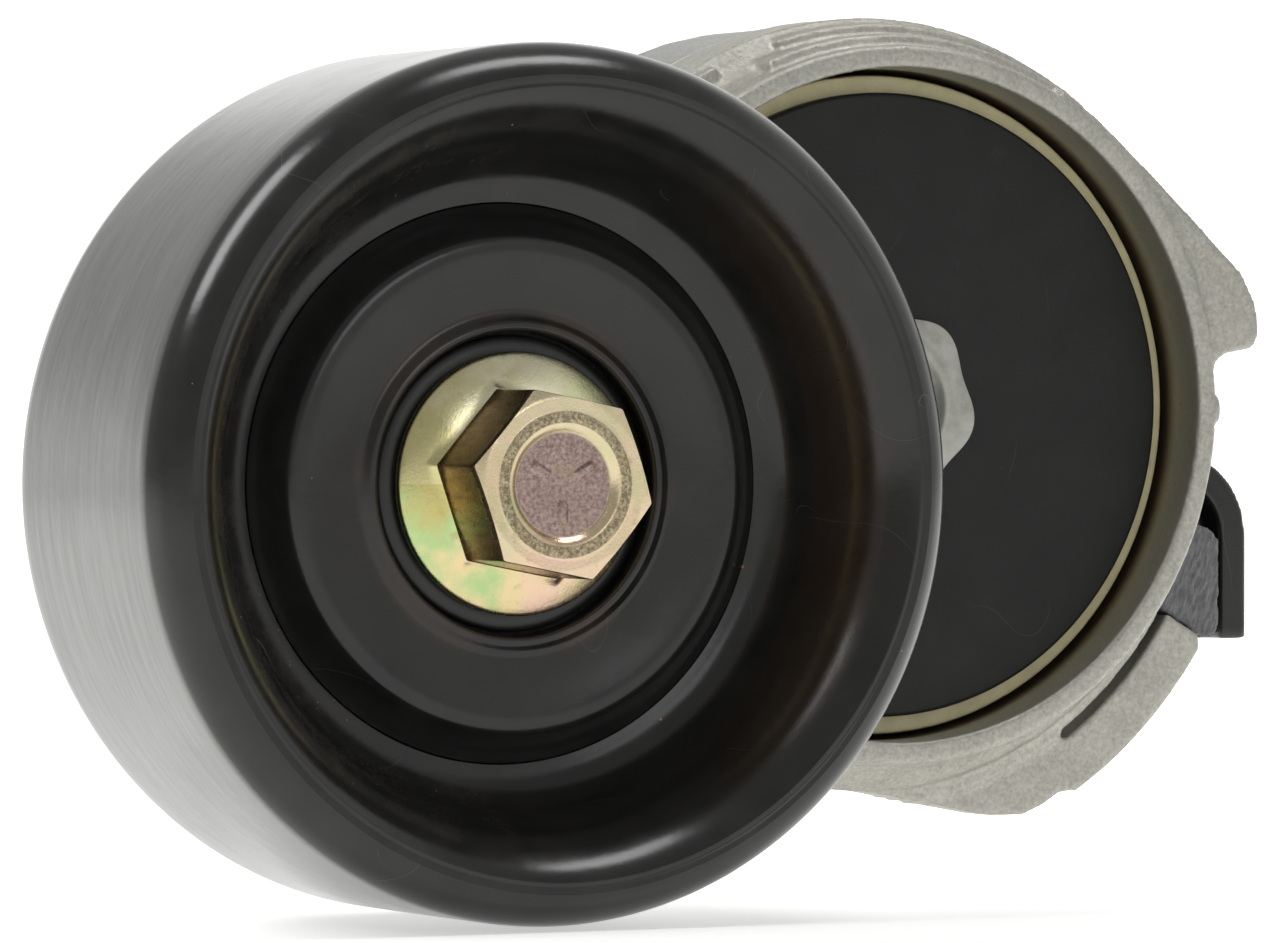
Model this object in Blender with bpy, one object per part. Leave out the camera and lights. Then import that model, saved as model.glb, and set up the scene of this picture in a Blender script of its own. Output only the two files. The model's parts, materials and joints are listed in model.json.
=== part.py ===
"""Spring-loaded belt tensioner with a smooth idler pulley on a cast arm.

Lengths are in millimetres until a mesh is made. Every turned axis is parallel to Y. A depth is counted
backwards from the pulley's front plane, so depth 0 is nearest to a viewer in front and MOUNT_DEPTH is
the face that bolts to the engine. The world origin lies on the pivot axis in that mounting face.
"""

from math import acos, asin, atan2, cos, degrees, hypot, pi, radians, sin

import bmesh
import bpy

MM = 0.001
GAP = 0.3
MOUNT_DEPTH = 74.0

# Idler pulley and its 17 x 40 x 12 mm ball bearing
PULLEY_X, PULLEY_Z = -51.5, -6.8
PULLEY_R, PULLEY_WIDTH = 38.1, 33.6
PULLEY_FRONT_FILLET = 5.15
HUB_FLANGE_R = 24.4
BEARING_FRONT, BEARING_WIDTH = 13.3, 12.0
BEARING_BORE_R, BEARING_OUTER_R = 8.5, 20.0
BALL_R, BALL_PITCH_R, BALL_COUNT = 3.37, 14.25, 8
BALL_ROOM = 0.2
RACE_INNER_SHOULDER_R, RACE_OUTER_SHOULDER_R = 11.4, 17.1
BOLT_R, BOLT_HOLE_R = 4.9, 5.4
BOLT_ACROSS_FLATS, BOLT_FLANGE_R = 15.0, 11.5
BOLT_TOP, BOLT_SEAT, BOLT_END = 1.4, 11.7, 46.0
HEX_TURN, HEX_BACK = -11.0, 10.0
SHIELD_R, SHIELD_FRONT = 12.9, 12.0

# Cast arm
RING_FRONT, RING_BORE_R, RING_R = 35.6, 31.17, 33.2
CUP_R, CUP_BACK, UNTRIMMED_BACK = 36.0, 49.9, 50.5
ARM_FLOOR_FRONT, ARM_FLOOR_BACK = 45.1, 48.6
ARM_HUB_R, ARM_HUB_FRONT, ARM_HUB_BACK, ARM_BORE_R = 12.5, 43.5, 62.0, 8.95
WEB_FRONT, WEB_END_R, WEB_WALL, WEB_POCKET_FRONT = 41.0, 17.0, 3.5, 45.0
POST_FRONT, POST_R = 27.3, 11.5
FLANGE_FRONT, FLANGE_BOTTOM = 44.0, -38.65
FINGER_END, FINGER_ROOT = -31.3, -55.5
FINGER_INNER_R, FINGER_OUTER_R = 38.2, 43.0
COVE_START = -80.0
SLOT_WIDTH = 1.0
EAR_FRONT, EAR_BACK = 36.0, 48.2

# Pivot stack, spring case and mounting bracket
PIN_R, PIN_BACK, PIN_TAP_R, PIN_TAP_FRONT = 7.0, 73.5, 4.3, 56.0
HEAD_FRONT, HEAD_R, HEAD_BOWL_R = 39.0, 8.75, 6.0
HEAD_LOBE, HEAD_LOBES, HEAD_TURN = 0.45, 6, 48.0
CAP_R, CAP_FRONT, CAP_BACK = 29.0, 40.0, 41.5
DAMPER_R, DAMPER_BORE_R, DAMPER_FRONT, DAMPER_BACK = 30.7, 24.0, 41.8, 44.7
CASE_R, CASE_BORE_R = 35.65, 32.4
CASE_FRONT, CASE_BACK, CASE_FLOOR = 51.2, 70.2, 67.2
BUSHING_RIM, BUSHING_BORE_R, BUSHING_BACK = 0.2, 31.4, 57.0
SPRING_WIRE_R, SPRING_R, SPRING_TURNS = 2.1, 22.0, 3.0
SPRING_FRONT, SPRING_BACK = 51.0, 64.8
SPRING_START = 60.0
ABUTMENT_HEIGHT, ABUTMENT_ANGLE = 4.0, 14.0
ABUTMENT_INNER_R, ABUTMENT_OUTER_R = 19.5, 24.5
PLATE_FRONT, PLATE_R = 70.5, 31.0
LUG_RIGHT, LUG_BOTTOM, LUG_TOP, LUG_CORNER_R = 44.0, -22.5, -4.5, 8.0
LUG_FRONT, LUG_LIP_FRONT, LUG_LIP = 51.6, 48.5, 2.9
LUG_INNER_R = 36.8
STOP_FRONT, STOP_RIGHT = 45.0, 38.8
STOP_TOP_ANGLE, STOP_BOTTOM_ANGLE = -17.4, -30.8
RIVET_PITCH_R, RIVET_R, RIVET_HEAD_R = 15.6, 2.0, 3.0
RIVET_ANGLES = (80, 200, 320)
LOCATOR_R, LOCATOR_Z, LOCATOR_BACK = 3.0, 25.0, 79.0

LARGE_STEPS, SMALL_STEPS = 48, 24


def polar(radius, angle):
    """The (x, z) point at this radius, and at this angle in degrees anticlockwise from +X."""
    return radius * cos(radians(angle)), radius * sin(radians(angle))


def arc(radius, start, end, steps, x=0.0, z=0.0):
    """Points (x, z) along an arc about (x, z), both ends included."""
    angles = [start + (end - start) * i / steps for i in range(steps + 1)]
    return [(x + px, z + pz) for px, pz in (polar(radius, a) for a in angles)]


def point(x, depth, z):
    return x * MM, (depth - MOUNT_DEPTH) * MM, z * MM


def make_material(name, color, roughness, metallic):
    material = bpy.data.materials.new(name)
    material.use_nodes = True
    shader = material.node_tree.nodes["Principled BSDF"]
    shader.inputs["Base Color"].default_value = (*color, 1.0)
    shader.inputs["Roughness"].default_value = roughness
    shader.inputs["Metallic"].default_value = metallic
    return material


def make_axis(name, x=0.0, z=0.0, parent=None):
    """An empty on a joint's axis. Its children's points are measured from that axis."""
    axis = bpy.data.objects.new(name, None)
    axis.location = (x * MM, 0.0, z * MM)
    axis.parent = parent
    bpy.context.scene.collection.objects.link(axis)
    return axis


def finish_object(name, bm, axis, material):
    bmesh.ops.remove_doubles(bm, verts=bm.verts, dist=1e-7)
    bmesh.ops.recalc_face_normals(bm, faces=bm.faces)
    mesh = bpy.data.meshes.new(name)
    bm.to_mesh(mesh)
    bm.free()
    mesh.shade_smooth()
    mesh.set_sharp_from_angle(angle=radians(35))
    obj = bpy.data.objects.new(name, mesh)
    obj.parent = axis
    if material:
        mesh.materials.append(material)
    bpy.context.scene.collection.objects.link(obj)
    return obj


def turned(name, profile, axis, material=None, steps=LARGE_STEPS):
    """A full turn of a closed (radius, depth) profile about the axis. It may start and end on the axis."""
    bm = bmesh.new()
    verts = [bm.verts.new(point(radius, depth, 0.0)) for radius, depth in profile]
    pairs = list(zip(verts, verts[1:]))
    if profile[0][0] > 0 or profile[-1][0] > 0:
        pairs.append((verts[-1], verts[0]))
    edges = [bm.edges.new(pair) for pair in pairs]
    bmesh.ops.spin(
        bm, geom=verts + edges, cent=(0, 0, 0), axis=(0, 1, 0), dvec=(0, 0, 0),
        angle=2 * pi, steps=steps, use_merge=True,
    )
    return finish_object(name, bm, axis, material)


def extruded(name, outline, front, back, axis, material=None):
    """A closed (x, z) outline extruded from one depth to another."""
    bm = bmesh.new()
    face = bm.faces.new([bm.verts.new(point(x, front, z)) for x, z in outline])
    grown = bmesh.ops.extrude_face_region(bm, geom=[face])["geom"]
    moved = [v for v in grown if isinstance(v, bmesh.types.BMVert)]
    bmesh.ops.translate(bm, verts=moved, vec=(0.0, (back - front) * MM, 0.0))
    return finish_object(name, bm, axis, material)


def sector(name, inner, outer, start, end, front, back, axis, steps=12):
    """A ring sector between two radii and two angles."""
    outline = arc(outer, start, end, steps) + arc(inner, end, start, steps)
    return extruded(name, outline, front, back, axis)


def disc(name, radius, front, back, axis, x=0.0, z=0.0, steps=SMALL_STEPS):
    """A plain cylinder between two depths, about (x, z)."""
    return extruded(name, arc(radius, 0, 360, steps, x, z)[:-1], front, back, axis)


def boolean(body, operation, helper):
    """Adds a Boolean to the body, and turns its second object into a hidden helper."""
    modifier = body.modifiers.new(f"{operation.title()} {helper.name}", "BOOLEAN")
    modifier.operation = operation
    modifier.object = helper
    modifier.solver = "EXACT"
    helper.hide_render = True
    helper.display_type = "WIRE"


def join(body, *helpers):
    for helper in helpers:
        boolean(body, "UNION", helper)


def cut(body, *helpers):
    for helper in helpers:
        boolean(body, "DIFFERENCE", helper)


def washer(name, inner, outer, front, back, axis, material, steps=SMALL_STEPS):
    profile = [(inner, front), (outer, front), (outer, back), (inner, back)]
    return turned(name, profile, axis, material, steps)


# ---- Pulley ----------------------------------------------------------------------------------------


def make_pulley_rim(axis, paint):
    """Spun steel rim: belt face, rolled front bead, and a web that dips behind the hub's flange."""
    fillet_r = PULLEY_R - PULLEY_FRONT_FILLET
    bead = [
        (fillet_r + PULLEY_FRONT_FILLET * cos(radians(a)), PULLEY_FRONT_FILLET * (1 - sin(radians(a))))
        for a in (0, 22, 44, 69)
    ]
    crease = [(34.55, 0.75), (34.2, 0.55)]
    valley = [
        (33.1, 1.2), (32.1, 2.2), (31.0, 3.7), (30.0, 5.6), (29.2, 8.0), (28.5, 10.6), (27.4, 12.8),
        (26.0, 13.7),
    ]
    lap = [(24.7, 14.0), (24.7, 15.8), (22.7, 15.8), (22.7, 17.8), (25.6, 17.6)]
    web_back = [(27.8, 16.3), (29.8, 14.0), (30.8, 11.2), (31.6, 8.3), (32.6, 6.0), (33.9, 4.2), (35.3, 3.6)]
    wall_inside = [(36.0, 5.0), (36.0, 30.8), (35.2, 31.6), (35.2, PULLEY_WIDTH)]
    back_edge = [(36.6, 33.3), (37.7, 32.3), (PULLEY_R, 31.0)]
    profile = bead + crease + valley + lap + web_back + wall_inside + back_edge
    return turned("pulley_rim", profile, axis, paint)


def make_pulley_hub(axis, paint):
    """Pressed steel cup that holds the bearing: dished front face, sloping shoulder and lapped flange."""
    bore = BEARING_OUTER_R + GAP
    back = BEARING_FRONT + BEARING_WIDTH
    face = [(13.2, 11.2), (13.8, 10.9), (14.8, 11.5), (17.5, 11.2), (20.3, 10.7), (21.4, 10.8)]
    shoulder = [(22.3, 11.7), (23.6, 13.4), (HUB_FLANGE_R, 13.9), (HUB_FLANGE_R, 15.5), (22.4, 15.5)]
    staked_lip = [(22.4, back + 1.5), (18.9, back + 1.5), (18.9, back + 0.4), (bore, back + 0.4)]
    seat = [(bore, 13.0), (13.2, 13.0)]
    return turned("pulley_hub", face + shoulder + staked_lip + seat, axis, paint)


# ---- Bearing ---------------------------------------------------------------------------------------


def groove(shoulder_r, bottom_r, middle):
    """Profile points of a ball groove, from its back edge to its front edge."""
    half = ((BALL_R + BALL_ROOM) ** 2 - (shoulder_r - BALL_PITCH_R) ** 2) ** 0.5
    side_r = shoulder_r + 0.6 * (bottom_r - shoulder_r)
    return [
        (shoulder_r, middle + half), (side_r, middle + 0.6 * half), (bottom_r, middle),
        (side_r, middle - 0.6 * half), (shoulder_r, middle - half),
    ]


def make_race(name, plain_r, shoulder_r, axis, steel):
    front, back = BEARING_FRONT, BEARING_FRONT + BEARING_WIDTH
    side = 1 if shoulder_r > BALL_PITCH_R else -1
    bottom_r = BALL_PITCH_R + side * (BALL_R + BALL_ROOM)
    profile = [(plain_r, front), (plain_r, back), (shoulder_r, back)]
    profile += groove(shoulder_r, bottom_r, (front + back) / 2)
    profile.append((shoulder_r, front))
    return turned(name, profile, axis, steel, SMALL_STEPS)


def ball_mesh(bm, radius, angle, middle, rings=5):
    x, z = polar(BALL_PITCH_R, angle)
    made = bmesh.ops.create_uvsphere(bm, u_segments=2 * rings, v_segments=rings, radius=radius * MM)
    bmesh.ops.translate(bm, verts=made["verts"], vec=point(x, middle, z))


def make_bearing(pulley_axis, arm_side_axis, cage_axis, looks):
    front = BEARING_FRONT
    middle = front + BEARING_WIDTH / 2
    make_race("bearing_outer_race", BEARING_OUTER_R, RACE_OUTER_SHOULDER_R, pulley_axis, looks["steel"])
    make_race("bearing_inner_race", BEARING_BORE_R, RACE_INNER_SHOULDER_R, arm_side_axis, looks["steel"])
    seal_inner, seal_outer = RACE_INNER_SHOULDER_R + GAP, RACE_OUTER_SHOULDER_R - GAP
    for name, depth in (("bearing_front_seal", front + 0.3), ("bearing_rear_seal", front + 11.0)):
        washer(name, seal_inner, seal_outer, depth, depth + 0.7, pulley_axis, looks["rubber"])
    cage = washer("bearing_cage", 12.8, 15.7, middle - 4.4, middle + 2.0, cage_axis, looks["nylon"])
    pockets = bmesh.new()
    for i in range(BALL_COUNT):
        angle = 360 * i / BALL_COUNT
        ball_mesh(pockets, BALL_R + BALL_ROOM, angle, middle)
        ball = bmesh.new()
        ball_mesh(ball, BALL_R, angle, middle)
        finish_object(f"bearing_ball_{i + 1}", ball, cage_axis, looks["steel"])
    cut(cage, finish_object("cage_pockets", pockets, cage_axis, None))
    washer(
        "bearing_spacer", BOLT_HOLE_R, BEARING_BORE_R - GAP, front - 0.3, front + BEARING_WIDTH,
        arm_side_axis, looks["steel"],
    )


def make_pulley_fixing(axis, looks):
    """Hex flange bolt, the dust shield under its flange and the spacer behind the bearing."""
    shield = [
        (BOLT_HOLE_R, SHIELD_FRONT), (12.2, SHIELD_FRONT), (SHIELD_R, SHIELD_FRONT + 0.3),
        (SHIELD_R, SHIELD_FRONT + 1.0), (12.0, SHIELD_FRONT + 0.7), (BOLT_HOLE_R, SHIELD_FRONT + 0.7),
    ]
    turned("front_dust_shield", shield, axis, looks["black_paint"], SMALL_STEPS)
    spacer_front = BEARING_FRONT + BEARING_WIDTH + GAP
    washer(
        "rear_spacer", BOLT_HOLE_R, POST_R - 0.5, spacer_front, POST_FRONT - GAP, axis, looks["steel"]
    )
    flange = [
        (0.0, 6.0), (6.5, 6.0), (6.5, 9.3), (8.6, 9.5), (11.2, 10.6), (BOLT_FLANGE_R, 10.9),
        (BOLT_FLANGE_R, BOLT_SEAT), (BOLT_R, BOLT_SEAT), (BOLT_R, BOLT_END - 1.0),
        (BOLT_R - 1.0, BOLT_END), (0.0, BOLT_END),
    ]
    bolt = turned("pulley_bolt", flange, axis, looks["zinc"], SMALL_STEPS)
    corner_r = BOLT_ACROSS_FLATS / 2 / cos(radians(30))
    hexagon = [polar(corner_r, HEX_TURN + 60 * i) for i in range(6)]
    head = extruded("bolt_head", hexagon, BOLT_TOP, HEX_BACK, axis)
    behind = HEX_BACK + 0.2
    dome = [(0.0, BOLT_TOP), (7.4, BOLT_TOP), (9.2, BOLT_TOP + 1.1), (9.2, behind), (0.0, behind)]
    boolean(head, "INTERSECT", turned("bolt_chamfer", dome, axis, steps=SMALL_STEPS))
    join(bolt, head)
    recess = [(0.0, 0.0), (4.9, 0.0), (4.6, BOLT_TOP + 0.6), (0.0, BOLT_TOP + 0.6)]
    cut(bolt, turned("bolt_recess", recess, axis, steps=SMALL_STEPS))


# ---- Arm -------------------------------------------------------------------------------------------


def web_outline(cup_r, end_r):
    """Outer tangents from the cup's circle to a circle about the pulley axis, and round its far side."""
    toward = degrees(atan2(PULLEY_Z, PULLEY_X)) % 360
    spread = degrees(acos((cup_r - end_r) / hypot(PULLEY_X, PULLEY_Z)))
    upper, lower = toward - spread, toward + spread
    far_side = arc(end_r, upper, lower, 14, PULLEY_X, PULLEY_Z)
    return [polar(cup_r, upper)] + far_side + [polar(cup_r, lower)]


def make_ear(axis):
    """Stop ear at the upper right: a flat stop face, a rounded tip and a straight back."""
    stop_face = [(33.05, 2.8), (33.25, 3.9), (34.4, 4.85), (36.0, 5.1), (37.1, 5.3), (37.7, 5.8)]
    tip = [(38.0, 6.8), (37.8, 8.8), (37.5, 9.9), (36.9, 11.0), (36.25, 12.2), (35.3, 13.3)]
    back = [(32.9, 15.5), (29.3, 18.9), (27.0, 21.1), (20.5, 26.8), (17.0, 29.3)]
    inner = arc(32.0, 62, 4, 8)
    return extruded("arm_ear", stop_face + tip + back + inner, EAR_FRONT, EAR_BACK, axis)


def make_flange(axis):
    """Lower flange whose right end is the stop finger. It closes on the arm's straight lower edge."""
    lower_edge = [polar(35.5, -104.0), (13.5, FLANGE_BOTTOM)]
    nose = [(17.0, FLANGE_BOTTOM), (19.3, -37.7), (20.8, -36.7), (22.6, -36.4)]
    outer = arc(FINGER_OUTER_R, -57.0, FINGER_END - 1.2, 8)
    end = [polar(FINGER_OUTER_R - 0.8, FINGER_END), polar(35.0, FINGER_END)]
    inner = arc(34.0, FINGER_END, -104.0, 12)
    outline = lower_edge + nose + outer + end + inner
    return extruded("arm_flange", outline, FLANGE_FRONT, UNTRIMMED_BACK + 0.3, axis)


def make_slot(axis):
    """Narrow slot between the finger and the cup, with a round closed end."""
    inner, outer = FINGER_INNER_R - SLOT_WIDTH, FINGER_INNER_R
    middle = (inner + outer) / 2
    end_x, end_z = polar(middle, FINGER_ROOT)
    round_end = arc(SLOT_WIDTH / 2, FINGER_ROOT, FINGER_ROOT - 180, 4, end_x, end_z)
    outline = arc(inner, FINGER_ROOT, -20, 10)[1:] + arc(outer, -20, FINGER_ROOT, 10)[:-1]
    return extruded("arm_slot", outline + round_end, 40.0, CUP_BACK + 2.0, axis)


def make_arm(axis, looks):
    """Casting with a cup round the pivot, a web to the pulley post, a stop ear and a stop finger."""
    cup = [
        (0.0, RING_FRONT), (RING_R - 0.3, RING_FRONT), (RING_R, RING_FRONT + 0.3), (RING_R, 38.4),
        (33.6, 40.2), (34.6, 41.7), (CUP_R, 42.8), (CUP_R, UNTRIMMED_BACK + 0.5),
        (0.0, UNTRIMMED_BACK + 0.5),
    ]
    arm = turned("arm_casting", cup, axis, looks["cast_aluminium"])
    web = extruded("arm_web", web_outline(35.5, WEB_END_R), WEB_FRONT, UNTRIMMED_BACK, axis)
    post_profile = [
        (0.0, POST_FRONT), (POST_R, POST_FRONT), (POST_R + 0.6, 36.0), (14.5, WEB_FRONT + 1.0),
        (0.0, WEB_FRONT + 1.0),
    ]
    post = turned("arm_post", post_profile, axis, steps=SMALL_STEPS)
    post.location = (PULLEY_X * MM, 0.0, PULLEY_Z * MM)
    cove_r, cove_back = FINGER_INNER_R - SLOT_WIDTH + 0.4, UNTRIMMED_BACK + 0.2
    cove = sector("arm_cove", 32.5, cove_r, COVE_START, FINGER_END - 1.0, 43.6, cove_back, axis, 12)
    ledge_low = sector("arm_ledge_low", 32.5, 34.3, 58, 113, 37.4, 42.5, axis)
    ledge_high = sector("arm_ledge_high", 32.5, 35.4, 52, 108, 40.2, 43.5, axis)
    join(arm, web, post, cove, make_ear(axis), make_flange(axis), ledge_low, ledge_high)
    cut(
        arm,
        disc("arm_back_trim", 90.0, CUP_BACK, 55.0, axis, steps=12),
        disc("arm_front_pocket", RING_BORE_R, 34.0, ARM_FLOOR_FRONT, axis, steps=LARGE_STEPS),
        disc("arm_rear_pocket", 32.8, ARM_FLOOR_BACK, 52.0, axis, steps=LARGE_STEPS),
    )
    abutment_start = SPRING_START + 2.0
    join(
        arm,
        disc("arm_hub", ARM_HUB_R, ARM_HUB_FRONT, ARM_HUB_BACK, axis),
        sector(
            "arm_abutment", ABUTMENT_INNER_R, ABUTMENT_OUTER_R,
            abutment_start, abutment_start + ABUTMENT_ANGLE,
            ARM_FLOOR_BACK - 1.0, ARM_FLOOR_BACK + ABUTMENT_HEIGHT, axis, 3,
        ),
    )
    cut(arm, make_slot(axis))
    for name, side in (("web_pocket_upper", -1), ("web_pocket_lower", 1)):
        cut(arm, extruded(name, web_pocket_outline(side), WEB_POCKET_FRONT, CUP_BACK + 2.0, axis))
    cut(
        arm,
        disc("arm_pivot_bore", ARM_BORE_R, 30.0, 70.0, axis),
        disc("arm_bolt_hole", BOLT_HOLE_R, 20.0, 60.0, axis, PULLEY_X, PULLEY_Z, 24),
    )
    washer(
        "pivot_bushing", PIN_R + 0.25, ARM_BORE_R - 0.25, ARM_HUB_FRONT, ARM_HUB_BACK, axis,
        looks["nylon"],
    )


def web_pocket_outline(side):
    """Pocket in the back of the web, on one side of its middle rib: between cup, post boss and edge."""
    length, along = hypot(PULLEY_X, PULLEY_Z), degrees(atan2(PULLEY_Z, PULLEY_X))
    spread = degrees(acos((CUP_R - WEB_END_R) / length))
    start, rib_half = CUP_R + WEB_WALL, 1.6
    boss_r, edge_r = POST_R - 1.5, WEB_END_R - WEB_WALL
    edge_slope = (edge_r - CUP_R + WEB_WALL) / length / sin(radians(spread))
    edge_x, edge_y = polar(edge_r, spread)
    near = [(start, edge_y + edge_slope * (start - length - edge_x)), (start, rib_half)]
    boss = arc(boss_r, 170, 35, 7, length)
    local = near + boss + arc(edge_r, 35, spread, 3, length)
    turned_points = [(hypot(u, v), along + side * degrees(atan2(v, u))) for u, v in local]
    return [polar(radius, angle) for radius, angle in turned_points]


# ---- Base ------------------------------------------------------------------------------------------


def make_pivot_pin(axis, metal):
    """Pivot pin: its front end is swaged over the cap plate into six lobes, its back end is tapped."""
    shaft = [(0.0, HEAD_FRONT + 0.2), (PIN_R, HEAD_FRONT + 0.2), (PIN_R, PIN_BACK), (0.0, PIN_BACK)]
    pin = turned("pivot_pin", shaft, axis, metal, SMALL_STEPS)
    waves = {a: cos(radians(HEAD_LOBES * (a - HEAD_TURN))) for a in range(0, 360, 6)}
    outline = [polar(HEAD_R + HEAD_LOBE * wave, a) for a, wave in waves.items()]
    join(pin, extruded("pin_head", outline, HEAD_FRONT, CAP_FRONT - GAP, axis))
    bowl = [(0.0, 37.0), (HEAD_BOWL_R, 37.0), (HEAD_BOWL_R, HEAD_FRONT), (4.6, 40.2), (0.0, 40.8)]
    tap = disc("pin_tapping", PIN_TAP_R, PIN_TAP_FRONT, PIN_BACK + 2.0, axis, steps=24)
    cut(pin, turned("pin_bowl", bowl, axis, steps=24), tap)


def make_front_stack(axis, looks):
    cap = [
        (PIN_R + 0.4, CAP_FRONT), (CAP_R - 0.4, CAP_FRONT), (CAP_R, CAP_FRONT + 0.4), (CAP_R, CAP_BACK),
        (PIN_R + 0.4, CAP_BACK),
    ]
    turned("cap_plate", cap, axis, looks["black_paint"])
    damper = [
        (DAMPER_BORE_R, DAMPER_FRONT), (DAMPER_R - 0.2, DAMPER_FRONT), (DAMPER_R, DAMPER_FRONT + 0.3),
        (DAMPER_R, DAMPER_BACK), (DAMPER_BORE_R, DAMPER_BACK),
    ]
    turned("damping_ring", damper, axis, looks["nylon"])
    sleeve_r, rim_r = CASE_BORE_R - GAP, CASE_R + BUSHING_RIM
    rim_front, rim_back = CUP_BACK + 0.2, CASE_FRONT - 0.2
    bushing = [
        (BUSHING_BORE_R, rim_front), (rim_r, rim_front), (rim_r, rim_back), (sleeve_r, rim_back),
        (sleeve_r, BUSHING_BACK), (BUSHING_BORE_R, BUSHING_BACK),
    ]
    turned("case_bushing", bushing, axis, looks["nylon"])


def rivet_places():
    return [polar(RIVET_PITCH_R, a) for a in RIVET_ANGLES]


def make_spring_case(axis, metal):
    boss_r, boss_front, bore = 12.0, ARM_HUB_BACK + 0.6, PIN_R + GAP
    profile = [
        (CASE_R, CASE_FRONT), (CASE_R, 66.0), (34.4, 69.0), (33.0, CASE_BACK), (bore, CASE_BACK),
        (bore, boss_front), (boss_r, boss_front), (boss_r, CASE_FLOOR), (CASE_BORE_R, CASE_FLOOR),
        (CASE_BORE_R, CASE_FRONT),
    ]
    case = turned("spring_case", profile, axis, metal)
    end = SPRING_START - 360 * SPRING_TURNS - 2.0
    join(case, sector(
        "case_abutment", ABUTMENT_INNER_R, ABUTMENT_OUTER_R, end - ABUTMENT_ANGLE, end,
        CASE_FLOOR - ABUTMENT_HEIGHT, CASE_FLOOR + 1.0, axis, 3,
    ))
    for i, (x, z) in enumerate(rivet_places()):
        cut(case, disc(f"case_rivet_hole_{i + 1}", RIVET_R + GAP, 60.0, 72.0, axis, x, z, 12))


def make_rivets(axis, metal):
    for i, (x, z) in enumerate(rivet_places()):
        front, back = CASE_FLOOR - GAP, 72.3
        profile = [
            (0.0, front - 1.3), (2.2, front - 1.3), (RIVET_HEAD_R, front - 0.5), (RIVET_HEAD_R, front),
            (RIVET_R, front), (RIVET_R, back), (RIVET_HEAD_R, back), (RIVET_HEAD_R, back + 1.0),
            (2.2, back + 1.4), (0.0, back + 1.4),
        ]
        rivet = turned(f"bracket_rivet_{i + 1}", profile, axis, metal, 12)
        rivet.location = (x * MM, 0.0, z * MM)


def make_torsion_spring(axis, steel):
    """Round wire coil, as a bevelled curve. It winds clockwise from front to back."""
    curve = bpy.data.curves.new("torsion_spring", "CURVE")
    curve.dimensions = "3D"
    curve.bevel_depth = SPRING_WIRE_R * MM
    curve.bevel_resolution = 2
    curve.use_fill_caps = True
    per_turn = 16
    count = int(SPRING_TURNS * per_turn) + 1
    spline = curve.splines.new("POLY")
    spline.points.add(count - 1)
    for i, control in enumerate(spline.points):
        x, z = polar(SPRING_R, SPRING_START - 360 * i / per_turn)
        depth = SPRING_FRONT + (SPRING_BACK - SPRING_FRONT) * i / (count - 1)
        control.co = (*point(x, depth, z), 1.0)
    spring = bpy.data.objects.new("torsion_spring", curve)
    spring.parent = axis
    curve.materials.append(steel)
    bpy.context.scene.collection.objects.link(spring)


def lug_outline(inset=0.0):
    """The lug's outer edge from its foot, up its straight side and over its round top corner."""
    centre_x, centre_z = LUG_RIGHT - LUG_CORNER_R, LUG_TOP - LUG_CORNER_R
    return [(LUG_RIGHT - inset, LUG_BOTTOM)] + arc(LUG_CORNER_R - inset, 0, 80, 8, centre_x, centre_z)


def make_bracket(axis, looks):
    """Black bracket: round back plate, a lug that comes forward beside the case, and the lug's lip."""
    hole = PIN_R + GAP
    untrimmed = MOUNT_DEPTH + 1.0
    bracket = washer(
        "mounting_bracket", hole, PLATE_R, PLATE_FRONT, untrimmed, axis, looks["black_paint"],
        LARGE_STEPS,
    )
    inner_edge = arc(LUG_INNER_R, -7.5, degrees(asin(LUG_BOTTOM / LUG_INNER_R)), 8)
    lug = extruded("bracket_lug", lug_outline() + inner_edge, LUG_FRONT, untrimmed + 0.3, axis)
    lip_outline = lug_outline() + lug_outline(LUG_LIP)[::-1]
    lip = extruded("bracket_lip", lip_outline, LUG_LIP_FRONT, LUG_FRONT + 1.0, axis)
    foot_outline = [(LUG_RIGHT - 1.0, LUG_BOTTOM), (LUG_RIGHT - 1.0, -9.0), (26.0, 12.0), (10.0, 10.0),
                    (12.0, -20.0), (20.0, -23.0)]
    foot = extruded("bracket_foot", foot_outline, PLATE_FRONT + 0.3, untrimmed + 0.6, axis)
    join(bracket, lug, lip, foot)
    cut(bracket, disc("bracket_back_trim", 60.0, MOUNT_DEPTH, 80.0, axis, steps=12))
    for i, (x, z) in enumerate(rivet_places()):
        through = disc(f"bracket_rivet_hole_{i + 1}", RIVET_R + GAP, 68.0, 76.0, axis, x, z, 12)
        counterbore = disc(f"bracket_rivet_seat_{i + 1}", RIVET_HEAD_R + GAP, 72.0, 76.0, axis, x, z, 12)
        cut(bracket, through, counterbore)
    cut(bracket, disc("bracket_locator_hole", LOCATOR_R + GAP, 68.0, 76.0, axis, 0.0, LOCATOR_Z, 16))
    locator = [
        (0.0, PLATE_FRONT + 0.1), (LOCATOR_R, PLATE_FRONT + 0.1), (LOCATOR_R, LOCATOR_BACK - 0.8),
        (LOCATOR_R - 0.8, LOCATOR_BACK), (0.0, LOCATOR_BACK),
    ]
    pin = turned("locating_pin", locator, axis, looks["steel"], 16)
    pin.location = (0.0, 0.0, LOCATOR_Z * MM)


def make_stop_block(axis, rubber):
    """Stop block on the lug: the finger rests under it, and the ear meets its top at full travel."""
    top = [polar(LUG_INNER_R, STOP_TOP_ANGLE), polar(39.6, STOP_TOP_ANGLE), (STOP_RIGHT, -12.9)]
    bottom = [(STOP_RIGHT, -20.9), (38.4, -21.8), (37.3, -22.2), polar(42.8, STOP_BOTTOM_ANGLE)]
    inner = arc(LUG_INNER_R, STOP_BOTTOM_ANGLE, STOP_TOP_ANGLE, 4)[:-1]
    extruded("stop_block", top + bottom + inner, STOP_FRONT, LUG_FRONT - GAP, axis, rubber)


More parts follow.
